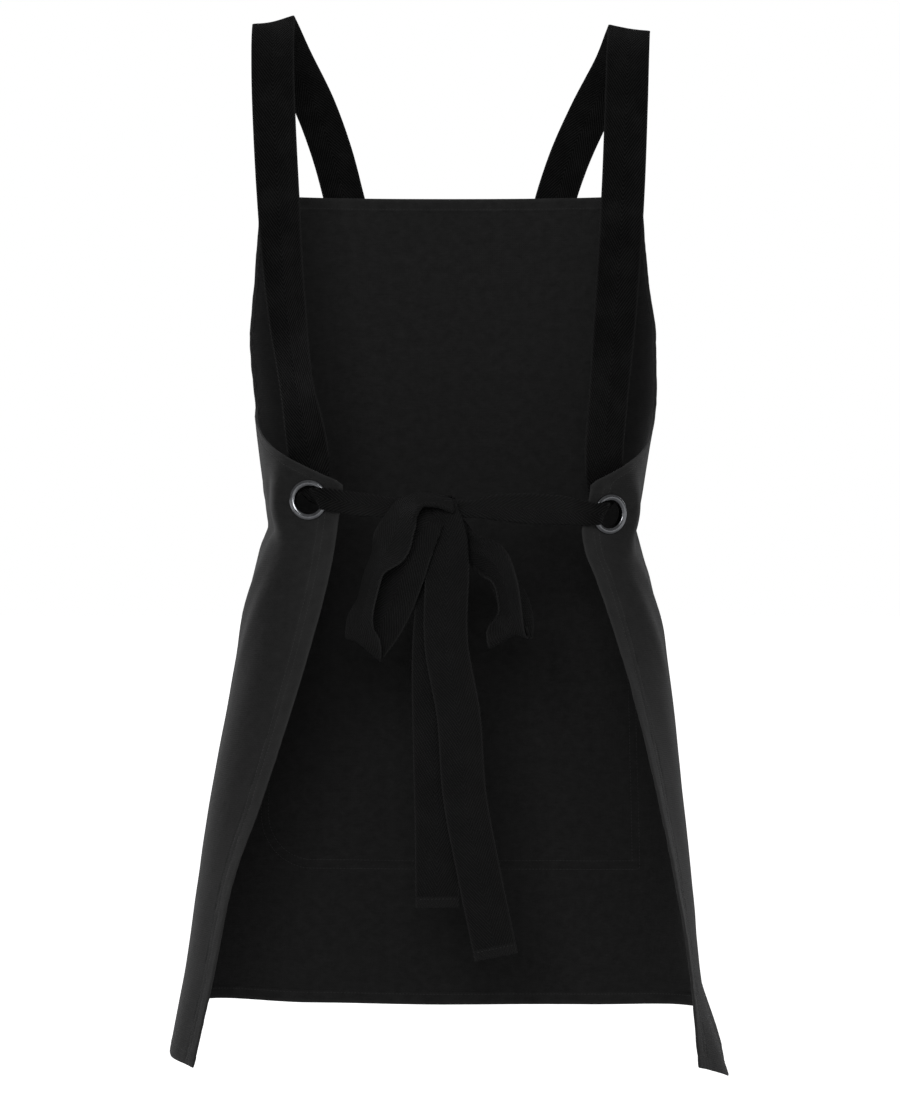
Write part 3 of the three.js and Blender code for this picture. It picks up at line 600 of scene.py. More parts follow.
# The one canvas panel: bib, skirt and the wings that wrap to the back
def makePanel():
    drop = canvas["panelDrop"]
    topLines, bottomLines, sideLines = [edgeLines(*hem) for hem in hems.values()]
    pocketLines = [drop - pocket["floor"] - s + d for s in pocket["seams"] for d in (-1.4, 0, 1.4)]
    between = np.linspace(topLines[-1], drop - bottomLines[-1], round(drop / canvas["cell"]))[1:-1]
    between = [line for line in between if min(abs(line - p) for p in pocketLines) > 1.5]
    depths = np.sort(np.concatenate([topLines, between, pocketLines, drop - bottomLines]))
    perSide = round(canvas["gridReach"] / canvas["cell"])
    rows, columns = len(depths), 2 * (perSide + len(sideLines)) - 1
    arcs = np.zeros((rows, columns))
    fromSide = np.full((rows, columns), 1e3)
    # On the curved armhole the hem is narrower, and the grid lines stand square to the slanting edge
    hemShare = canvas["armholeShare"] + (1 - canvas["armholeShare"]) * smooth(0.34, 0.365, depths / drop)
    for hand, side in handNames.items():
        edgePlaces = readColumn(cutEdge, side, depths / drop)
        reach = np.array([arcAt(d / drop, hand, place) for d, place in zip(depths, edgePlaces)])
        slant = np.sqrt(1 + np.gradient(reach, depths) ** 2)
        slant = np.convolve(np.pad(slant, 2, mode="edge"), np.ones(5) / 5, mode="valid")
        for row in range(rows):
            outerArcs = reach[row] - sideLines[::-1] * slant[row] * hemShare[row]
            half = np.concatenate([np.linspace(0, outerArcs[0], perSide + 1)[1:-1], outerArcs])
            arcs[row, ::hand][-len(half):] = hand * half
            fromSide[row, ::hand][-len(half):] = (reach[row] - half) / slant[row]
    middle = np.stack([formRow(arcs[row], depths[row] / drop) for row in range(rows)])
    fromTop = np.repeat(depths[:, None], columns, 1)
    fromBottom = drop - fromTop
    middle = holdFlat(middle + gridNormals(middle) * canvasRelief(arcs, fromTop)[..., None])
    out = gridNormals(middle)

    # Hems: a folded layer inside, seams that sink in, and puckers between them
    edges = list(zip((fromTop, fromBottom, fromSide / hemShare[:, None]), hems.values()))
    inHem = np.maximum.reduce([1 - smooth(hem - 0.4, hem + 0.6, away) for away, (hem, _) in edges])
    nearSeam = np.maximum.reduce([
        near(away - s, sewing["width"]) for away, (_, seams) in edges for s in seams
    ])
    inPocket = 1 - smooth(pocket["half"] - 6, pocket["half"] + 2, np.abs(arcs))
    for s in pocket["seams"]:
        nearPocket = near(fromBottom - pocket["floor"] - s, sewing["width"]) * inPocket
        nearSeam = np.maximum(nearSeam, 0.7 * nearPocket)
    atEdge = np.minimum.reduce([fromTop, fromBottom, fromSide])
    rounding = np.sqrt(smooth(-0.3, 1.5, atEdge))
    pucker = ripple(arcs / 7, fromTop / 7, 5.2) + 0.6 * ripple(arcs / 17, fromTop / 17, 2.2)
    pucker = np.where((inHem > 0.02) | (nearSeam > 0.1), pucker, 0)
    middle = middle + out * (sewing["pucker"] * pucker * np.maximum(inHem, 0.7 * nearSeam))[..., None]
    outerWall = canvas["wall"] / 2 * rounding - sewing["sink"] * nearSeam
    innerWall = (canvas["wall"] / 2 + canvas["foldWall"] * inHem) * rounding - sewing["innerSink"] * nearSeam
    outer = middle + out * outerWall[..., None]
    inner = middle - out * innerWall[..., None]
    # Paler at rubbed edges, hems, puckers and seams, and in a band along the wings' back edges below the
    # armholes; that band is painted dimmer towards the hem, as painted shade on the lower wings
    wearAndPaintedLight = np.clip(
        0.55 * near(atEdge, 1.6) + 0.18 * inHem * (0.5 + pucker) + 0.12 * nearSeam
        + 0.34 * (1 - smooth(0, 52, fromSide)) * smooth(300, 330, fromTop)
        * (1 - 0.7 * smooth(600, drop, fromTop)), 0, 1)
    piece = clothPiece("panel", outer, inner, np.stack([arcs, -fromTop], -1), wearAndPaintedLight, canvasCloth)

    # A hole for each eyelet's barrel
    for eyelet in eyelets.values():
        clear()
        turn = Vector(eyelet["out"]).to_track_quat("Z", "Y")
        bpy.ops.mesh.primitive_cylinder_add(
            vertices=48, radius=(eyeletForm["hole"] + eyeletForm["barrel"] + eyeletForm["gap"]) * mm,
            depth=20 * mm, location=Vector(eyelet["centre"] * mm), rotation=turn.to_euler(),
        )
        punch = bpy.context.active_object
        select(piece)
        cut = piece.modifiers.new("hole", "BOOLEAN")
        cut.operation = "DIFFERENCE"
        cut.object = punch
        bpy.ops.object.modifier_apply(modifier=cut.name)
        bpy.data.objects.remove(punch)

    # Seam lines on both faces, read off the grid
    lines = []

    def seamAlong(rowsAt, columnsAt):
        for face, sign in ((outer, 1), (inner, -1)):
            outs = sign * out[rowsAt, columnsAt]
            lines.append((face[rowsAt, columnsAt] + sewing["lift"] * outs, outs))

    topSeam, bottomSeam = hems["top"][1][0], hems["bottom"][1][0]
    topRow, bottomRow = nearest(depths, topSeam), nearest(drop - depths, bottomSeam)
    cornerRow = nearest(depths, canvas["armholeEnd"] * drop)
    margin = nearest(sideLines, topSeam) // 2
    for row in (topRow, bottomRow):
        seamAlong(row, slice(margin, columns - margin))
    for firstRow, s in zip((cornerRow, topRow), hems["side"][1]):
        column = nearest(sideLines, s)
        for index in (column, columns - 1 - column):
            seamAlong(slice(firstRow, bottomRow), index)
    stitches = sew("panelStitches", lines)

    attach(piece, "root")
    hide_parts("apron_panel")
    return {"arcs": arcs, "depths": depths, "outer": outer, "inner": inner, "out": out}


panelGrid = makePanel()


# A point on a face of the finished panel at a place on its flat pattern, and the direction out of it
def onPanel(face, arc, depth):
    depths = panelGrid["depths"]
    row = int(np.clip(np.searchsorted(depths, depth) - 1, 0, len(depths) - 2))
    f = (depth - depths[row]) / (depths[row + 1] - depths[row])
    at, out = [
        pointAt(arc, panelGrid["arcs"][row], panelGrid[key][row]) * (1 - f)
        + pointAt(arc, panelGrid["arcs"][row + 1], panelGrid[key][row + 1]) * f
        for key in (face, "out")
    ]
    return at, unit(out)


# Rounded lower corners: how far the pocket's edge comes in at a height above its floor
def cornerInset(radius, height):
    rise = max(0, radius - height)
    return radius - math.sqrt(max(0, radius * radius - rise * rise))


# The patch pocket on the outer front, open along its top edge
def makePocket():
    p = pocket
    sides = np.array([0, 0.6, 1.4, 2, 3, 6, 9.3, 10.5, 11.8, 14])
    mouth = np.array([0, 0.6, 1.6, 5, 10, *[p["mouthSeam"] + beside for beside in (-1.2, 0, 1.2)],
                      p["mouthHem"] - 0.5, p["mouthHem"] + 0.6])
    heights = np.sort(np.concatenate([
        sides[:-1], np.linspace(15, p["height"] - p["mouthHem"] - 4, 36), p["height"] - mouth,
    ]))[::-1]
    shares = np.linspace(0, 1, 70)[1:-1]
    rows = []
    for h in heights:
        low = -p["half"] + cornerInset(p["round"], h)
        high = p["half"] - cornerInset(p["corner"], h)
        places = np.concatenate([
            low + sides, low + sides[-1] + shares * (high - low - 2 * sides[-1]), high - sides[::-1],
        ])
        fromMouth = p["height"] - h
        hem = 1 - smooth(p["mouthHem"] - 0.4, p["mouthHem"] + 0.5, fromMouth)
        mouthSeam = near(fromMouth - p["mouthSeam"], sewing["width"])
        row = []
        for a in places:
            base, out = onPanel("outer", a, canvas["panelDrop"] - p["floor"] - h)
            edge = min(a - low, high - a, h)
            sideSeam = max(near(edge - s, sewing["width"]) for s in p["seams"])
            loose = smooth(8, 90, edge)
            wave = ripple(a / 60, h / 90, 4.4) + 0.4 * ripple(a / 22, h / 22, 9.4)
            lift = p["gap"] + p["belly"] * loose * (0.75 + 0.4 * wave)
            lift += 0.25 * ripple(a / 7, h / 7, 6.1) * (1 - loose)
            rounding = math.sqrt(smooth(-0.3, 1.3, min(edge, fromMouth)))
            wall = (p["wall"] + hem) * rounding - sewing["sink"] * max(sideSeam, mouthSeam)
            wearAndPaintedLight = min(1, 0.5 * near(min(edge, fromMouth), 1.6) + 0.15 * sideSeam)
            row.append(np.concatenate([base + out * (lift + wall), base + out * lift, out, [a, h, wearAndPaintedLight]]))
        rows.append(row)
    outer, inner, outs, flat, wearAndPaintedLight = np.split(np.array(rows), [3, 6, 9, 11], axis=2)
    piece = clothPiece("pocketCloth", outer, inner, flat, wearAndPaintedLight[..., 0], canvasCloth)
    mouthLine = nearest(heights, p["height"] - p["mouthSeam"]), slice(3, -3)
    lines = [(outer[mouthLine] + sewing["lift"] * outs[mouthLine], outs[mouthLine])]
    for s in p["seams"]:
        for face, sign, lift in (("inner", -1, sewing["lift"]), ("outer", 1, p["wall"] + p["gap"] + 0.1)):
            found = [onPanel(face, a, canvas["panelDrop"] - p["floor"] - h) for a, h in pocketSeam(s)]
            lines.append(([at + sign * lift * out for at, out in found], [sign * out for _, out in found]))
    stitches = sew("pocketStitches", lines)
    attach(piece, "root")
    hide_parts("pocket")
    print("pocket", *outer.shape[:2])


# A seam line round the pocket at a distance from its edge, from mouth to mouth
def pocketSeam(inset):
    p = pocket
    r = p["round"] - inset
    down = [[inset - p["half"], h] for h in np.linspace(p["height"], p["round"], 30)]
    turn = [[p["round"] - p["half"] - r * math.cos(a), p["round"] - r * math.sin(a)]
            for a in np.linspace(0, math.pi / 2, 24)[1:]]
    along = [[x, inset] for x in np.linspace(p["round"] - p["half"], p["half"] - p["corner"], 60)[1:]]
    up = [[p["half"] - inset, h] for h in np.linspace(p["corner"], p["height"], 40)]
    return down + turn + along + [[p["half"] - inset, inset + 0.5]] + up


makePocket()

# The webbing. entryInset, eyeletDrop and eyeletAt are places on the form, not millimetres
band = {
    "width": 40, "wall": 1.8, "foldWall": 4, "step": 2.6, "bend": 5.5, "foldAngle": 166, "narrowest": 0.36,
    "strapHalf": {"left": 167, "right": 170}, "strapDip": {"left": 0, "right": 7},
    "shoulderSlope": {"left": 18, "right": 13}, "chestHalf": 104, "sewnLength": 44, "sewnLean": 14,
    "entryRise": 50, "entryInset": {"left": 0.03, "right": -0.04},
    "eyeletDrop": {"left": 0.373, "right": 0.387}, "eyeletAt": {"left": 1.82, "right": 1.83},
    "loopDrop": 130, "longTail": 408, "shortTail": 364, "tailHem": 10, "hemWall": 2.6, "seatGap": 0.7,
    # How much paler the ties and the bow are painted than the straps: painted light, as if they caught more
    # light
    "paintedLight": 0.4,
}
# Each band's place in the noise, and how wavy it is
bandWaves = {
    "leftStrap": (1.5, 0.25), "rightStrap": (3.5, 0.25), "knotWrap": (20.5, 0.35),
    "leftLoop": (7.5, 0.5), "rightLoop": (9.5, 0.5), "leftTail": (12.5, 0.6), "rightTail": (15.5, 0.6),
}
passWidth = 1.5 * eyeletForm["hole"]
knotLow, knotHigh = [np.array(corner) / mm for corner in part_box("bow_knot")]
knotCentre = (knotLow + knotHigh) / 2
knotHalf = (knotHigh[0] - knotLow[0]) / 2
knotRound = (knotHigh[2] - knotLow[2]) / 2


# A smooth curve through points, read at shares of the way through them
def curveThrough(points, shares, tension=None):
    points = np.array(points, float)
    last = len(points) - 1
    place = np.clip(np.asarray(shares, float) * last, 0, last)
    i = np.minimum(place.astype(int), last - 1)
    f = (place - i)[:, None]
    ends = np.vstack([2 * points[0] - points[1], points, 2 * points[-1] - points[-2]])
    a, b, c, d = ends[i], ends[i + 1], ends[i + 2], ends[i + 3]
    if tension is None:
        step = [np.sum((q - p) ** 2, 1)[:, None] ** 0.25 for p, q in ((a, b), (b, c), (c, d))]
        leave = ((b - a) / step[0] - (c - a) / (step[0] + step[1]) + (c - b) / step[1]) * step[1]
        arrive = ((c - b) / step[1] - (d - b) / (step[1] + step[2]) + (d - c) / step[2]) * step[1]
    else:
        leave = tension * (c - a)
        arrive = tension * (d - b)
    return b + leave * f + (3 * (c - b) - 2 * leave - arrive) * f**2 + (2 * (b - c) + leave + arrive) * f**3


# Direction across a band: turned in the picture plane from the X axis, then swung in depth
def acrossBy(turnDegrees, swingDegrees):
    turn, swing = math.radians(turnDegrees), math.radians(swingDegrees)
    return np.array([math.cos(turn) * math.cos(swing), math.sin(swing), math.sin(turn) * math.cos(swing)])


# A band of webbing through stations. Where it has less room than its width, both sides fold behind.
def makeBand(name, stations, node, hemEnd=0):
    seed, slack = bandWaves[name]
    count = len(stations)
    places = [s["at"] for s in stations]
    fine = np.linspace(0, 1, 40 * count)
    along = lengthAlong(curveThrough(places, fine))
    length = along[-1]
    stops = np.linspace(0, length, round(length / band["step"]) + 1)
    if hemEnd:
        fromEnd = [0, 0.5, 1.2, *np.linspace(2.6, hemEnd - 4, 3)]
        fromEnd += [hemEnd + beside for beside in (-2.6, -1.4, -0.4, 0.6)]
        stops = np.concatenate([stops[stops < length - hemEnd - 1.5], length - np.array(fromEnd[::-1])])
    shares = np.interp(stops, along, fine)
    centre = curveThrough(places, shares)
    run = unit(np.gradient(centre, stops, axis=0))
    across = curveThrough([s["across"] for s in stations], shares, 0.3)
    across = unit(across - run * np.sum(across * run, 1)[:, None])
    out = np.cross(across, run)[:, None]
    wide, tuck, paintedLight = [
        np.interp(shares * (count - 1), range(count), [s.get(key, usual) for s in stations])[:, None]
        for key, usual in (("wide", 1), ("tuck", 1), ("paintedLight", 0))
    ]
    wide = np.clip(wide, band["narrowest"], 1)

    # Cross-section by distance from the middle of the webbing, with both sides turned behind
    half = band["width"] / 2
    hem = np.array([0, 0.5, 1.4])
    s = np.concatenate([hem - half, np.linspace(2.8 - half, half - 2.8, 19), half - hem[::-1]])
    steps = np.linspace(-half, half, 161)
    size, middle = steps[1] - steps[0], len(steps) // 2
    pick = np.round((s + half) / size).astype(int)
    angle = math.radians(band["foldAngle"]) * smooth(0, 0.1, 1 - wide)
    theta = angle * smooth(0, 1, (np.abs(steps) - (wide * half - band["bend"] / 3)) / band["bend"])
    x = np.cumsum(np.cos(theta), 1) * size
    y = np.cumsum(np.sign(steps) * np.sin(theta), 1) * size
    x, y, theta = (x - x[:, [middle]])[:, pick], (y - y[:, [middle]])[:, pick], theta[:, pick]

    # Webbing is never quite flat: a soft cup across it and slow waves along its edges
    down = stops[:, None]
    wave = ripple(down / 38, s / 30 + seed, seed)
    edgeWave = ripple(down / 15, np.copysign(2, s), seed + 4)
    lift = slack * (1.6 * wave + 0.8 * edgeWave * (np.abs(s) / half) ** 2)
    across = across[:, None]
    points = centre[:, None] + across * x[..., None] + out * (y * tuck + lift)[..., None]
    lean = -np.sign(s) * np.sin(theta) * tuck
    normal = across * lean[..., None] + out * np.cos(theta)[..., None]
    edge = half - np.abs(s)
    wall = band["wall"] / 2 * (0.55 + 0.45 * smooth(0, 1.2, edge)) * np.ones_like(down)
    hemLayer = np.zeros_like(down)
    if hemEnd:
        hemLayer = smooth(length - hemEnd - 0.3, length - hemEnd + 0.4, down)
        wall = wall * (1 - 0.25 * near(length - down - hemEnd + 2, 1))
        wall = wall * (1 - 0.4 * smooth(length - 1, length, down))
    outer = points + normal * (wall * (1 + 1.6 * hemLayer * (tuck < 0)))[..., None]
    inner = points - normal * (wall * (1 + 1.6 * hemLayer * (tuck >= 0)))[..., None]
    # Paler at the selvedges as a painted edge highlight, at the tails' hems and where the webbing is folded
    # narrow, and over the ties and the bow as painted light, as if they caught more light than the straps
    wearAndPaintedLight = np.clip(0.75 * near(edge, 1.1) + 0.3 * hemLayer + 0.12 * (1 - wide) + paintedLight, 0, 1)
    piece = clothPiece(name, outer, inner, np.stack(np.meshgrid(s, stops), -1), wearAndPaintedLight, webbing)
    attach(piece, "root")
    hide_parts(node)
    print(name, "length", round(length, 1))
    return {"piece": piece, "length": length, "inner": inner, "normal": normal, "stops": stops, "s": s}


# Sews lines on a band's inner face. Each line is a list of stop and place across.
def finishBand(made, seams):
    if seams:
        stops, s = made["stops"], made["s"]
        lines = []
        for seam in seams:
            path, outs = [], []
            for start, end in zip(seam[:-1], seam[1:]):
                for v, q in np.linspace(start, end, 24):
                    row = nearest(stops, v)
                    beside = min(row + 1, len(stops) - 1) if stops[row] <= v else max(row - 1, 0)
                    gap = stops[beside] - stops[row]
                    f = (v - stops[row]) / gap if gap else 0
                    at, next_ = [pointAt(q, s, made["inner"][r]) for r in (row, beside)]
                    out = -pointAt(q, s, made["normal"][row])
                    path.append(at + (next_ - at) * f + 0.1 * out)
                    outs.append(out)
            lines.append((path, outs))
        stitches = sew(made["piece"].name + "Stitches", lines)


# Front of each strap, from the bib's top edge to the shoulder, as shares of the way between them
strapFront = makeTable("left right forward down turn", [
    [0.83, 0.8, 0.93, 0.74, 0.7],
    [0.57, 0.5, 0.78, 0.45, 0.8],
    [0.23, 0.17, 0.5, 0.18, 0.9],
    [0.06, 0.04, 0.2, 0.04, 1],
])
# Back of each strap, from the shoulder to the wing, as shares of the way. swing: degrees
strapBack = {
    "left": makeTable("across back down swing", [
        [0.01, 0.16, 0.012, 2],
        [0.03, 0.4, 0.07, 2],
        [0.08, 0.6, 0.19, 4],
        [0.21, 0.75, 0.4, 8],
        [0.41, 0.86, 0.64, 22],
        [0.72, 0.95, 0.86, 38],
    ]),
    "right": makeTable("across back down swing", [
        [0.04, 0.16, 0.012, 0],
        [0.12, 0.4, 0.07, 0],
        [0.21, 0.6, 0.19, 1],
        [0.35, 0.75, 0.4, 3],
        [0.58, 0.86, 0.64, 10],
        [0.85, 0.95, 0.86, 24],
    ]),
}
throughEyelet = makeTable("rise inward side beyond turned wide lean", [
    [1.6, -0.05, -1, -1.25, 0, 1.67, 0],
    [0.6, 0.05, -1, -2, 0.5, 1.15, 0.2],
    [0.14, 0.2, -1, -0.25, 1, 0.95, 0.6],
    [0.12, 0.33, 1, -0.3, 1, 0.92, 0.7],
    [0.1, 0.55, 1, 0.9, 1, 0.92, 0.65],
    [0.04, 1.11, 1, 1.2, 1, 0.95, 0.35],
])
tieRun = {
    "left": makeTable("along up out wide", [
        [0.3, -0.05, 0.08, 0.5],
        [0.6, -0.06, 0.05, 0.42],
        [0.85, -0.02, 0.02, 0.34],
    ]),
    "right": makeTable("along up out wide", [
        [0.2, 0.05, 0.12, 0.6],
        [0.45, 0.06, 0.12, 0.66],
        [0.7, 0.06, 0.1, 0.55],
        [0.88, 0, 0.04, 0.3],
    ]),
}


# One strap with its tie: bib, shoulder, back, inside the wing, out through the eyelet and to the knot
def makeStrap(name, hand):
    eyelet = eyelets[hand]
    drop = canvas["panelDrop"]
    stations = []

    def add(at, across, wide=1, paintedLight=0):
        stations.append({"at": at, "across": across, "wide": wide, "paintedLight": paintedLight})

    lying = band["seatGap"] + band["wall"] / 2
    lean = math.tan(math.radians(band["sewnLean"]))
    for below in (band["sewnLength"], band["sewnLength"] / 2, 0):
        arc = hand * (band["chestHalf"] - lean * below)
        at, out = onPanel("outer", arc, below)
        beside, _ = onPanel("outer", arc + 2, below)
        add(at + out * lying, unit(beside - at))
    bibTop = stations[-1]
    shoulder = np.array([hand * band["strapHalf"][name], 0, -band["strapDip"][name]])
    slope = -band["shoulderSlope"][name] * hand
    toBib = bibTop["at"] - shoulder
    for row in tableRows(strapFront):
        share = np.array([row[name], row["forward"], row["down"]])
        facing = bibTop["across"] * row["down"] + acrossBy(row["turn"] * slope, 0) * (1 - row["down"])
        add(shoulder + share * toBib, facing)
    add(shoulder, acrossBy(slope, 0))

    # Down the back to the inner face of the wing
    entryDrop = band["eyeletDrop"][name] - band["entryRise"] / drop
    entryArc = hand * arcAt(entryDrop, hand, band["eyeletAt"][name] - band["entryInset"][name])
    behind = band["hemWall"] / 2 + eyeletForm["washer"] + eyeletForm["gap"]
    behind += band["foldWall"] + band["seatGap"] + band["wall"]
    at, wingAcross, out = onForm(entryArc, entryDrop)
    entry = at - out * behind
    toWing = entry - shoulder
    for row in tableRows(strapBack[name]):
        add(shoulder + np.array([row["across"], row["back"], row["down"]]) * toWing,
            acrossBy(0, row["swing"] * hand))
    add(entry, -wingAcross)

    # Through the eyelet, folded to pass, and along the back to the knot
    level = np.array([0, 0, -hand])
    up = np.array([0, 0, 1])
    clothAcross = unit(np.cross(up, eyelet["out"]))
    if clothAcross @ wingAcross < 0:
        clothAcross = -clothAcross
    inward = clothAcross * hand
    face = eyeletForm["clothWall"] / 2 + eyeletForm["gap"] + eyeletForm["rise"]
    for row in tableRows(throughEyelet):
        at = (eyelet["centre"] + up * row["rise"] * eyeletForm["hole"]
              + inward * row["inward"] * eyeletForm["flange"]
              + eyelet["out"] * (row["side"] * face + row["beyond"] * band["foldWall"]))
        across = -clothAcross * (1 - row["turned"]) + (level + inward * hand * row["lean"]) * row["turned"]
        add(at, across, row["wide"] * passWidth / band["width"])
    start = stations[-1]["at"]
    end = knotCentre + np.array([hand * knotHalf * 0.5, 0, 0])
    for row in tableRows(tieRun[name]):
        at = start * (1 - row["along"]) + end * row["along"]
        at = at + np.array([0, -row["out"], row["up"]]) * band["width"]
        add(at, level, row["wide"], band["paintedLight"])
    add(end, level, knotRound / band["width"], band["paintedLight"])
    made = makeBand(name + "Strap", stations, "strap_" + name)
    w = band["width"] / 2 - 3
    n = band["sewnLength"] - 4
    boxSeam = [(3, -w), (n, -w), (n, w), (3, w), (3, -w)]
    finishBand(made, [boxSeam, [(3, -w), (n, w)], [(3, w), (n, -w)]])


for strapHand, strapName in handNames.items():
    makeStrap(strapName, strapHand)

# Loops of the bow. across, down, out: of loopDrop. tuck: 1 where its sides fold to one face, -1 to the other
loopRows = "across down out turn swing wide tuck"
loops = {
    "left": makeTable(loopRows, [
        [0.05, -0.02, 0.1, -118, -58, 0.4, 1],
        [-0.07, -0.062, 0.16, -96, -66, 0.52, 1],
        [-0.198, -0.062, 0.19, -75, -66, 0.7, 1],
        [-0.285, 0, 0.22, -40, -50, 0.85, 1],
        [-0.335, 0.12, 0.22, 5, -36, 0.95, 1],
        [-0.392, 0.265, 0.2, 14, -26, 1, 1],
        [-0.495, 0.43, 0.17, 14, -60, 1, 1],
        [-0.552, 0.64, 0.15, 12, -62, 1, 1],
        [-0.596, 0.815, 0.12, -8, -50, 1, 1],
        [-0.576, 0.94, 0.08, -36, -14, 1, 1],
        [-0.569, 0.97, 0.04, -40, 0, 1, 1],
        [-0.55, 0.94, 0, -38, 4, 1, -1],
        [-0.47, 0.83, 0, -30, 2, 1, -1],
        [-0.38, 0.66, 0.03, -24, 0, 1, -1],
        [-0.303, 0.46, 0.09, -20, 0, 1, -1],
        [-0.233, 0.257, 0.13, -22, -4, 0.95, -1],
        [-0.128, 0.105, 0.13, -35, -8, 0.72, -1],
        [-0.04, 0.03, 0.07, -48, -8, 0.4, -1],
    ]),
    "right": makeTable(loopRows, [
        [0, 0.02, -0.055, 20, 0, 0.32, 1],
        [0.035, 0.065, -0.085, 30, -6, 0.38, 1],
        [0.097, 0.195, -0.14, 42, -25, 0.5, 1],
        [0.2, 0.3, -0.05, 56, -42, 0.72, 1],
        [0.33, 0.375, 0.05, 46, -42, 0.9, 1],
        [0.41, 0.53, 0.1, 16, -54, 1, 1],
        [0.445, 0.72, 0.11, 4, -58, 1, 1],
        [0.437, 0.84, 0.09, 14, -44, 1, 1],
        [0.432, 0.892, 0.06, 28, -16, 1, 1],
        [0.44, 0.905, 0.02, 30, 0, 1, 1],
        [0.46, 0.87, -0.02, 24, 14, 1, -1],
        [0.485, 0.79, -0.05, 10, 30, 1, -1],
        [0.475, 0.66, -0.07, 18, 44, 1, -1],
        [0.4, 0.49, -0.1, 36, 58, 1, -1],
        [0.28, 0.37, -0.15, 44, 44, 0.75, -1],
        [0.15, 0.23, -0.19, 46, 22, 0.5, -1],
        [0.045, 0.06, -0.15, 44, 6, 0.36, -1],
        [0.01, -0.035, -0.1, 30, 0, 0.32, -1],
        [0, -0.05, -0.04, 20, 0, 0.3, -1],
    ]),
}


def makeLoop(name):
    stations = [{
        "at": knotCentre + np.array([row["across"], -row["out"], -row["down"]]) * band["loopDrop"],
        "across": acrossBy(row["turn"], row["swing"]), "wide": row["wide"], "tuck": row["tuck"],
        "paintedLight": band["paintedLight"],
    } for row in tableRows(loops[name])]
    finishBand(makeBand(name + "Loop", stations, "bow_loop_" + name), [])


# Tails of the bow. down: of the tail's length; across, out: of the webbing's width
tailRows = "down across out wide turn"
tails = {
    "left": (band["shortTail"], makeTable(tailRows, [
        [0.01, 0, -0.1, 0.42, 20],
        [0.06, -0.06, -0.14, 0.65, 10],
        [0.16, -0.14, -0.12, 1, 4],
        [0.36, -0.28, -0.1, 1, 0],
        [0.6, -0.26, -0.08, 1, 2],
        [0.8, -0.22, -0.08, 1, 1],
        [1, -0.2, -0.08, 1, -3],
    ])),
    "right": (band["longTail"], makeTable(tailRows, [
        [-0.012, -0.06, 0.26, 0.5, -8],
        [0.012, 0.0, 0.34, 0.6, -8],
        [0.06, 0.05, 0.26, 0.8, -6],
        [0.15, 0.02, 0.18, 1, 0],
        [0.3, 0, 0.16, 1, 4],
        [0.46, 0.28, 0.16, 1, 7],
        [0.64, 0.42, 0.16, 1, 7],
        [0.82, 0.76, 0.16, 1, 9],
        [1, 1.14, 0.16, 1, 12],
    ])),
}


def makeTail(name):
    length, rows = tails[name]
    size = np.array([band["width"], -band["width"], -length])
    stations = [{
        "at": knotCentre + np.array([row["across"], row["out"], row["down"]]) * size,
        "across": acrossBy(row["turn"], 0), "wide": row["wide"], "paintedLight": band["paintedLight"],
    } for row in tableRows(rows)]
    made = makeBand(name + "Tail", stations, "bow_tail_" + name, band["tailHem"])
    v = made["length"] - band["tailHem"] + 2
    w = band["width"] / 2 - 1.5
    finishBand(made, [[(v, -w), (v, w)]])


# The knot: webbing wrapped once round the other pieces, its sides folded under
def makeKnot():
    stations = []
    turns, last = 1.2, 12
    for i in range(last + 1):
        a = -math.pi * 0.75 + i / last * turns * 2 * math.pi
        r = knotRound - 1.6 + 0.5 * i / last
        at = knotCentre + np.array([0.25 * (i - last / 2), -r * math.sin(a) * 1.05, r * math.cos(a)])
        across = np.array([1, 0, 0.12 * math.sin(a)])
        stations.append({"at": at, "across": across, "wide": 0.5, "paintedLight": band["paintedLight"]})
    finishBand(makeBand("knotWrap", stations, "bow_knot"), [])


makeKnot()
for bowSide in ("left", "right"):
    makeLoop(bowSide)
    makeTail(bowSide)


# A ring round an eyelet's axis, spun from a profile of radii and heights in millimetres
def spinRing(name, profile, eyelet, node):
    mesh = bpy.data.meshes.new(name)
    points = [(x * mm, 0, z * mm) for x, z in profile]
    mesh.from_pydata(points, [(i, (i + 1) % len(points)) for i in range(len(points))], [])
    o = newObject(name, mesh)
    select(o)
    bpy.ops.object.mode_set(mode="EDIT")
    bpy.ops.mesh.select_all(action="SELECT")
    bpy.ops.mesh.spin(steps=eyeletForm["turns"], angle=2 * math.pi, center=(0, 0, 0), axis=(0, 0, 1))
    bpy.ops.mesh.select_all(action="SELECT")
    bpy.ops.mesh.remove_doubles(threshold=0.00001)
    bpy.ops.mesh.normals_make_consistent(inside=False)
    bpy.ops.object.mode_set(mode="OBJECT")
    bpy.ops.object.shade_smooth_by_angle(angle=math.radians(40))
    o.rotation_euler = Vector(eyelet["out"]).to_track_quat("Z", "Y").to_euler()
    o.location = Vector(eyelet["centre"] * mm)
    bpy.ops.object.transform_apply(location=True, rotation=True, scale=True)
    o.data.materials.append(nickel)
    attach(o, "root")
    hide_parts(node)


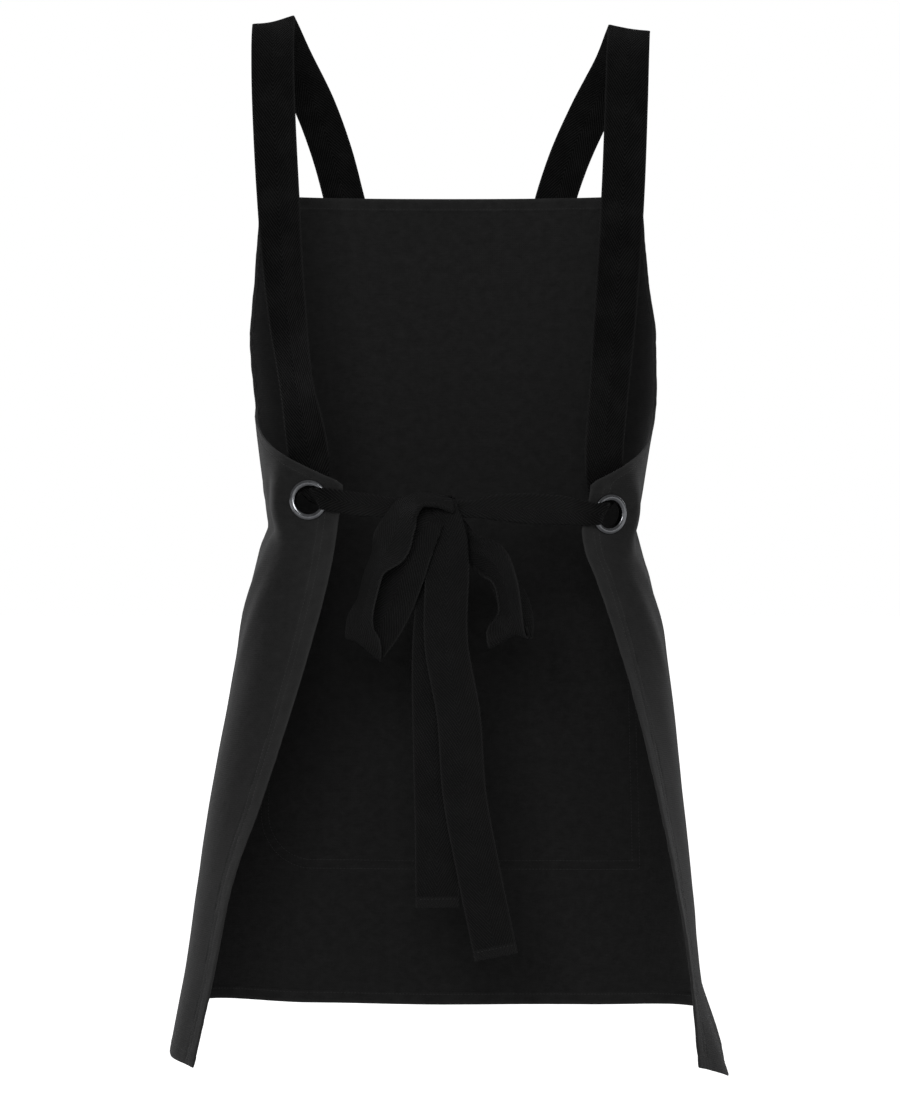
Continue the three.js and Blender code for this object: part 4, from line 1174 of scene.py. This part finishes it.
# Eyelets: a rolled flange outside, a barrel through the cloth, and its end rolled over a washer
def makeEyelets():
    e = eyeletForm
    face = e["clothWall"] / 2 + e["gap"]
    under = -face - e["washer"]
    back = under - e["gap"]
    barrel = e["hole"] + e["barrel"]
    rim = e["flange"] - e["inset"]
    middle, reach = (e["flange"] + e["hole"]) / 2, (e["flange"] - e["hole"]) / 2
    roll = [
        (middle + reach * math.cos(a), face + e["rise"] * (0.12 + 0.88 * math.sin(a) ** 0.8))
        for a in np.linspace(0, math.pi, 19)
    ]
    flare = [
        (barrel + e["lip"] * (1 - math.cos(a)) / 2, back - e["lipWall"] * math.sin(a))
        for a in np.linspace(0, math.pi, 9)
    ]
    profile = [(barrel, face), (e["flange"], face), *roll, (e["hole"], back - 0.2), *flare, (barrel, back)]
    ring = [
        (barrel + e["gap"], under), (rim - 0.3, under), (rim, under + 0.3), (rim, -face),
        (barrel + e["gap"], -face),
    ]
    for hand, name in handNames.items():
        spinRing(name + "Eyelet", profile, eyelets[hand], "eyelet_" + name)
        spinRing(name + "Washer", ring, eyelets[hand], "eyelet_washer_" + name)
    print("eyelets")


makeEyelets()

# A pale floor, painted greyer round the apron as a painted shadow, that glows white further off, in a white
# surround, with soft lamps on the camera's side and two behind the apron. Floor in millimetres; glow and
# lamps in metres: x, y, z and size, then watts.
studio = {
    "floorDrop": 1500, "floorSize": 90000, "floorNear": "#cccccc", "floorFar": "#e8e8e8", "farGlow": 0.95,
    "darkMiddle": (0, -1.1), "glowFrom": 2.2, "glowTo": 3.9, "horizon": 0.22, "zenith": 0.38,
    "aim": (0, 0, -0.4), "lamps": {
        "key": (-0.3, -3.5, 0.25, 1.1, 69), "fill": (0.7, -3.4, 0.9, 0.9, 9),
        "rimLeft": (-2.2, 1.6, 0.5, 1.2, 26), "rimRight": (2.2, 1.9, 0.5, 1.2, 18),
    },
}


def floorSurface(tree):
    away = addNode(tree, "VectorMath", {
        0: addNode(tree, "TexCoord").outputs["Object"],
        1: (*studio["darkMiddle"], -studio["floorDrop"] * mm),
    }, operation="DISTANCE")
    glow = addNode(tree, "MapRange", {
        "Value": away.outputs["Value"], "From Min": studio["glowFrom"], "From Max": studio["glowTo"],
        "To Max": studio["farGlow"],
    }, interpolation_type="SMOOTHSTEP")
    # Greyer near the apron than further off: a painted shadow round it
    paint = addNode(tree, "Mix", {
        0: glow, 6: linear(studio["floorNear"]), 7: linear(studio["floorFar"]),
    }, data_type="RGBA")
    return {
        "Base Color": paint.outputs[2], "Roughness": 0.9, "Emission Color": linear("#ffffff"),
        "Emission Strength": glow,
    }


def makeStudio():
    clear()
    place = (0, 0, -studio["floorDrop"] * mm)
    bpy.ops.mesh.primitive_plane_add(size=studio["floorSize"] * mm, location=place)
    floor = bpy.context.active_object
    floor.name = "floor"
    bpy.ops.object.transform_apply(location=True, rotation=True, scale=True)
    floor.data.materials.append(makeMaterial("pale_floor", floorSurface))

    # The surround looks white, but lights the apron less than that, and least from the horizon and below
    world = bpy.data.worlds.new("surround")
    world.use_nodes = True
    tree = world.node_tree
    tree.nodes.clear()
    split = addNode(tree, "SeparateXYZ", {0: addNode(tree, "TexCoord").outputs["Generated"]})
    height = addNode(tree, "MapRange", {
        "Value": split.outputs[2], "To Min": studio["horizon"], "To Max": studio["zenith"],
    })
    strength = addNode(tree, "MapRange", {
        "Value": addNode(tree, "LightPath").outputs["Is Camera Ray"], "To Min": height, "To Max": 1,
    })
    sky = addNode(tree, "Background", {"Color": linear("#ffffff"), "Strength": strength})
    addNode(tree, "OutputWorld", {"Surface": sky})
    bpy.context.scene.world = world
    for name, (x, y, z, size, power) in studio["lamps"].items():
        light = bpy.data.lights.new(name, "AREA")
        light.size = size
        light.energy = power
        o = newObject(name, light)
        o.location = (x, y, z)
        o.rotation_euler = (Vector(studio["aim"]) - o.location).to_track_quat("-Z", "Y").to_euler()
    bpy.context.scene.view_settings.view_transform = "Standard"


makeStudio()
print("apron done")
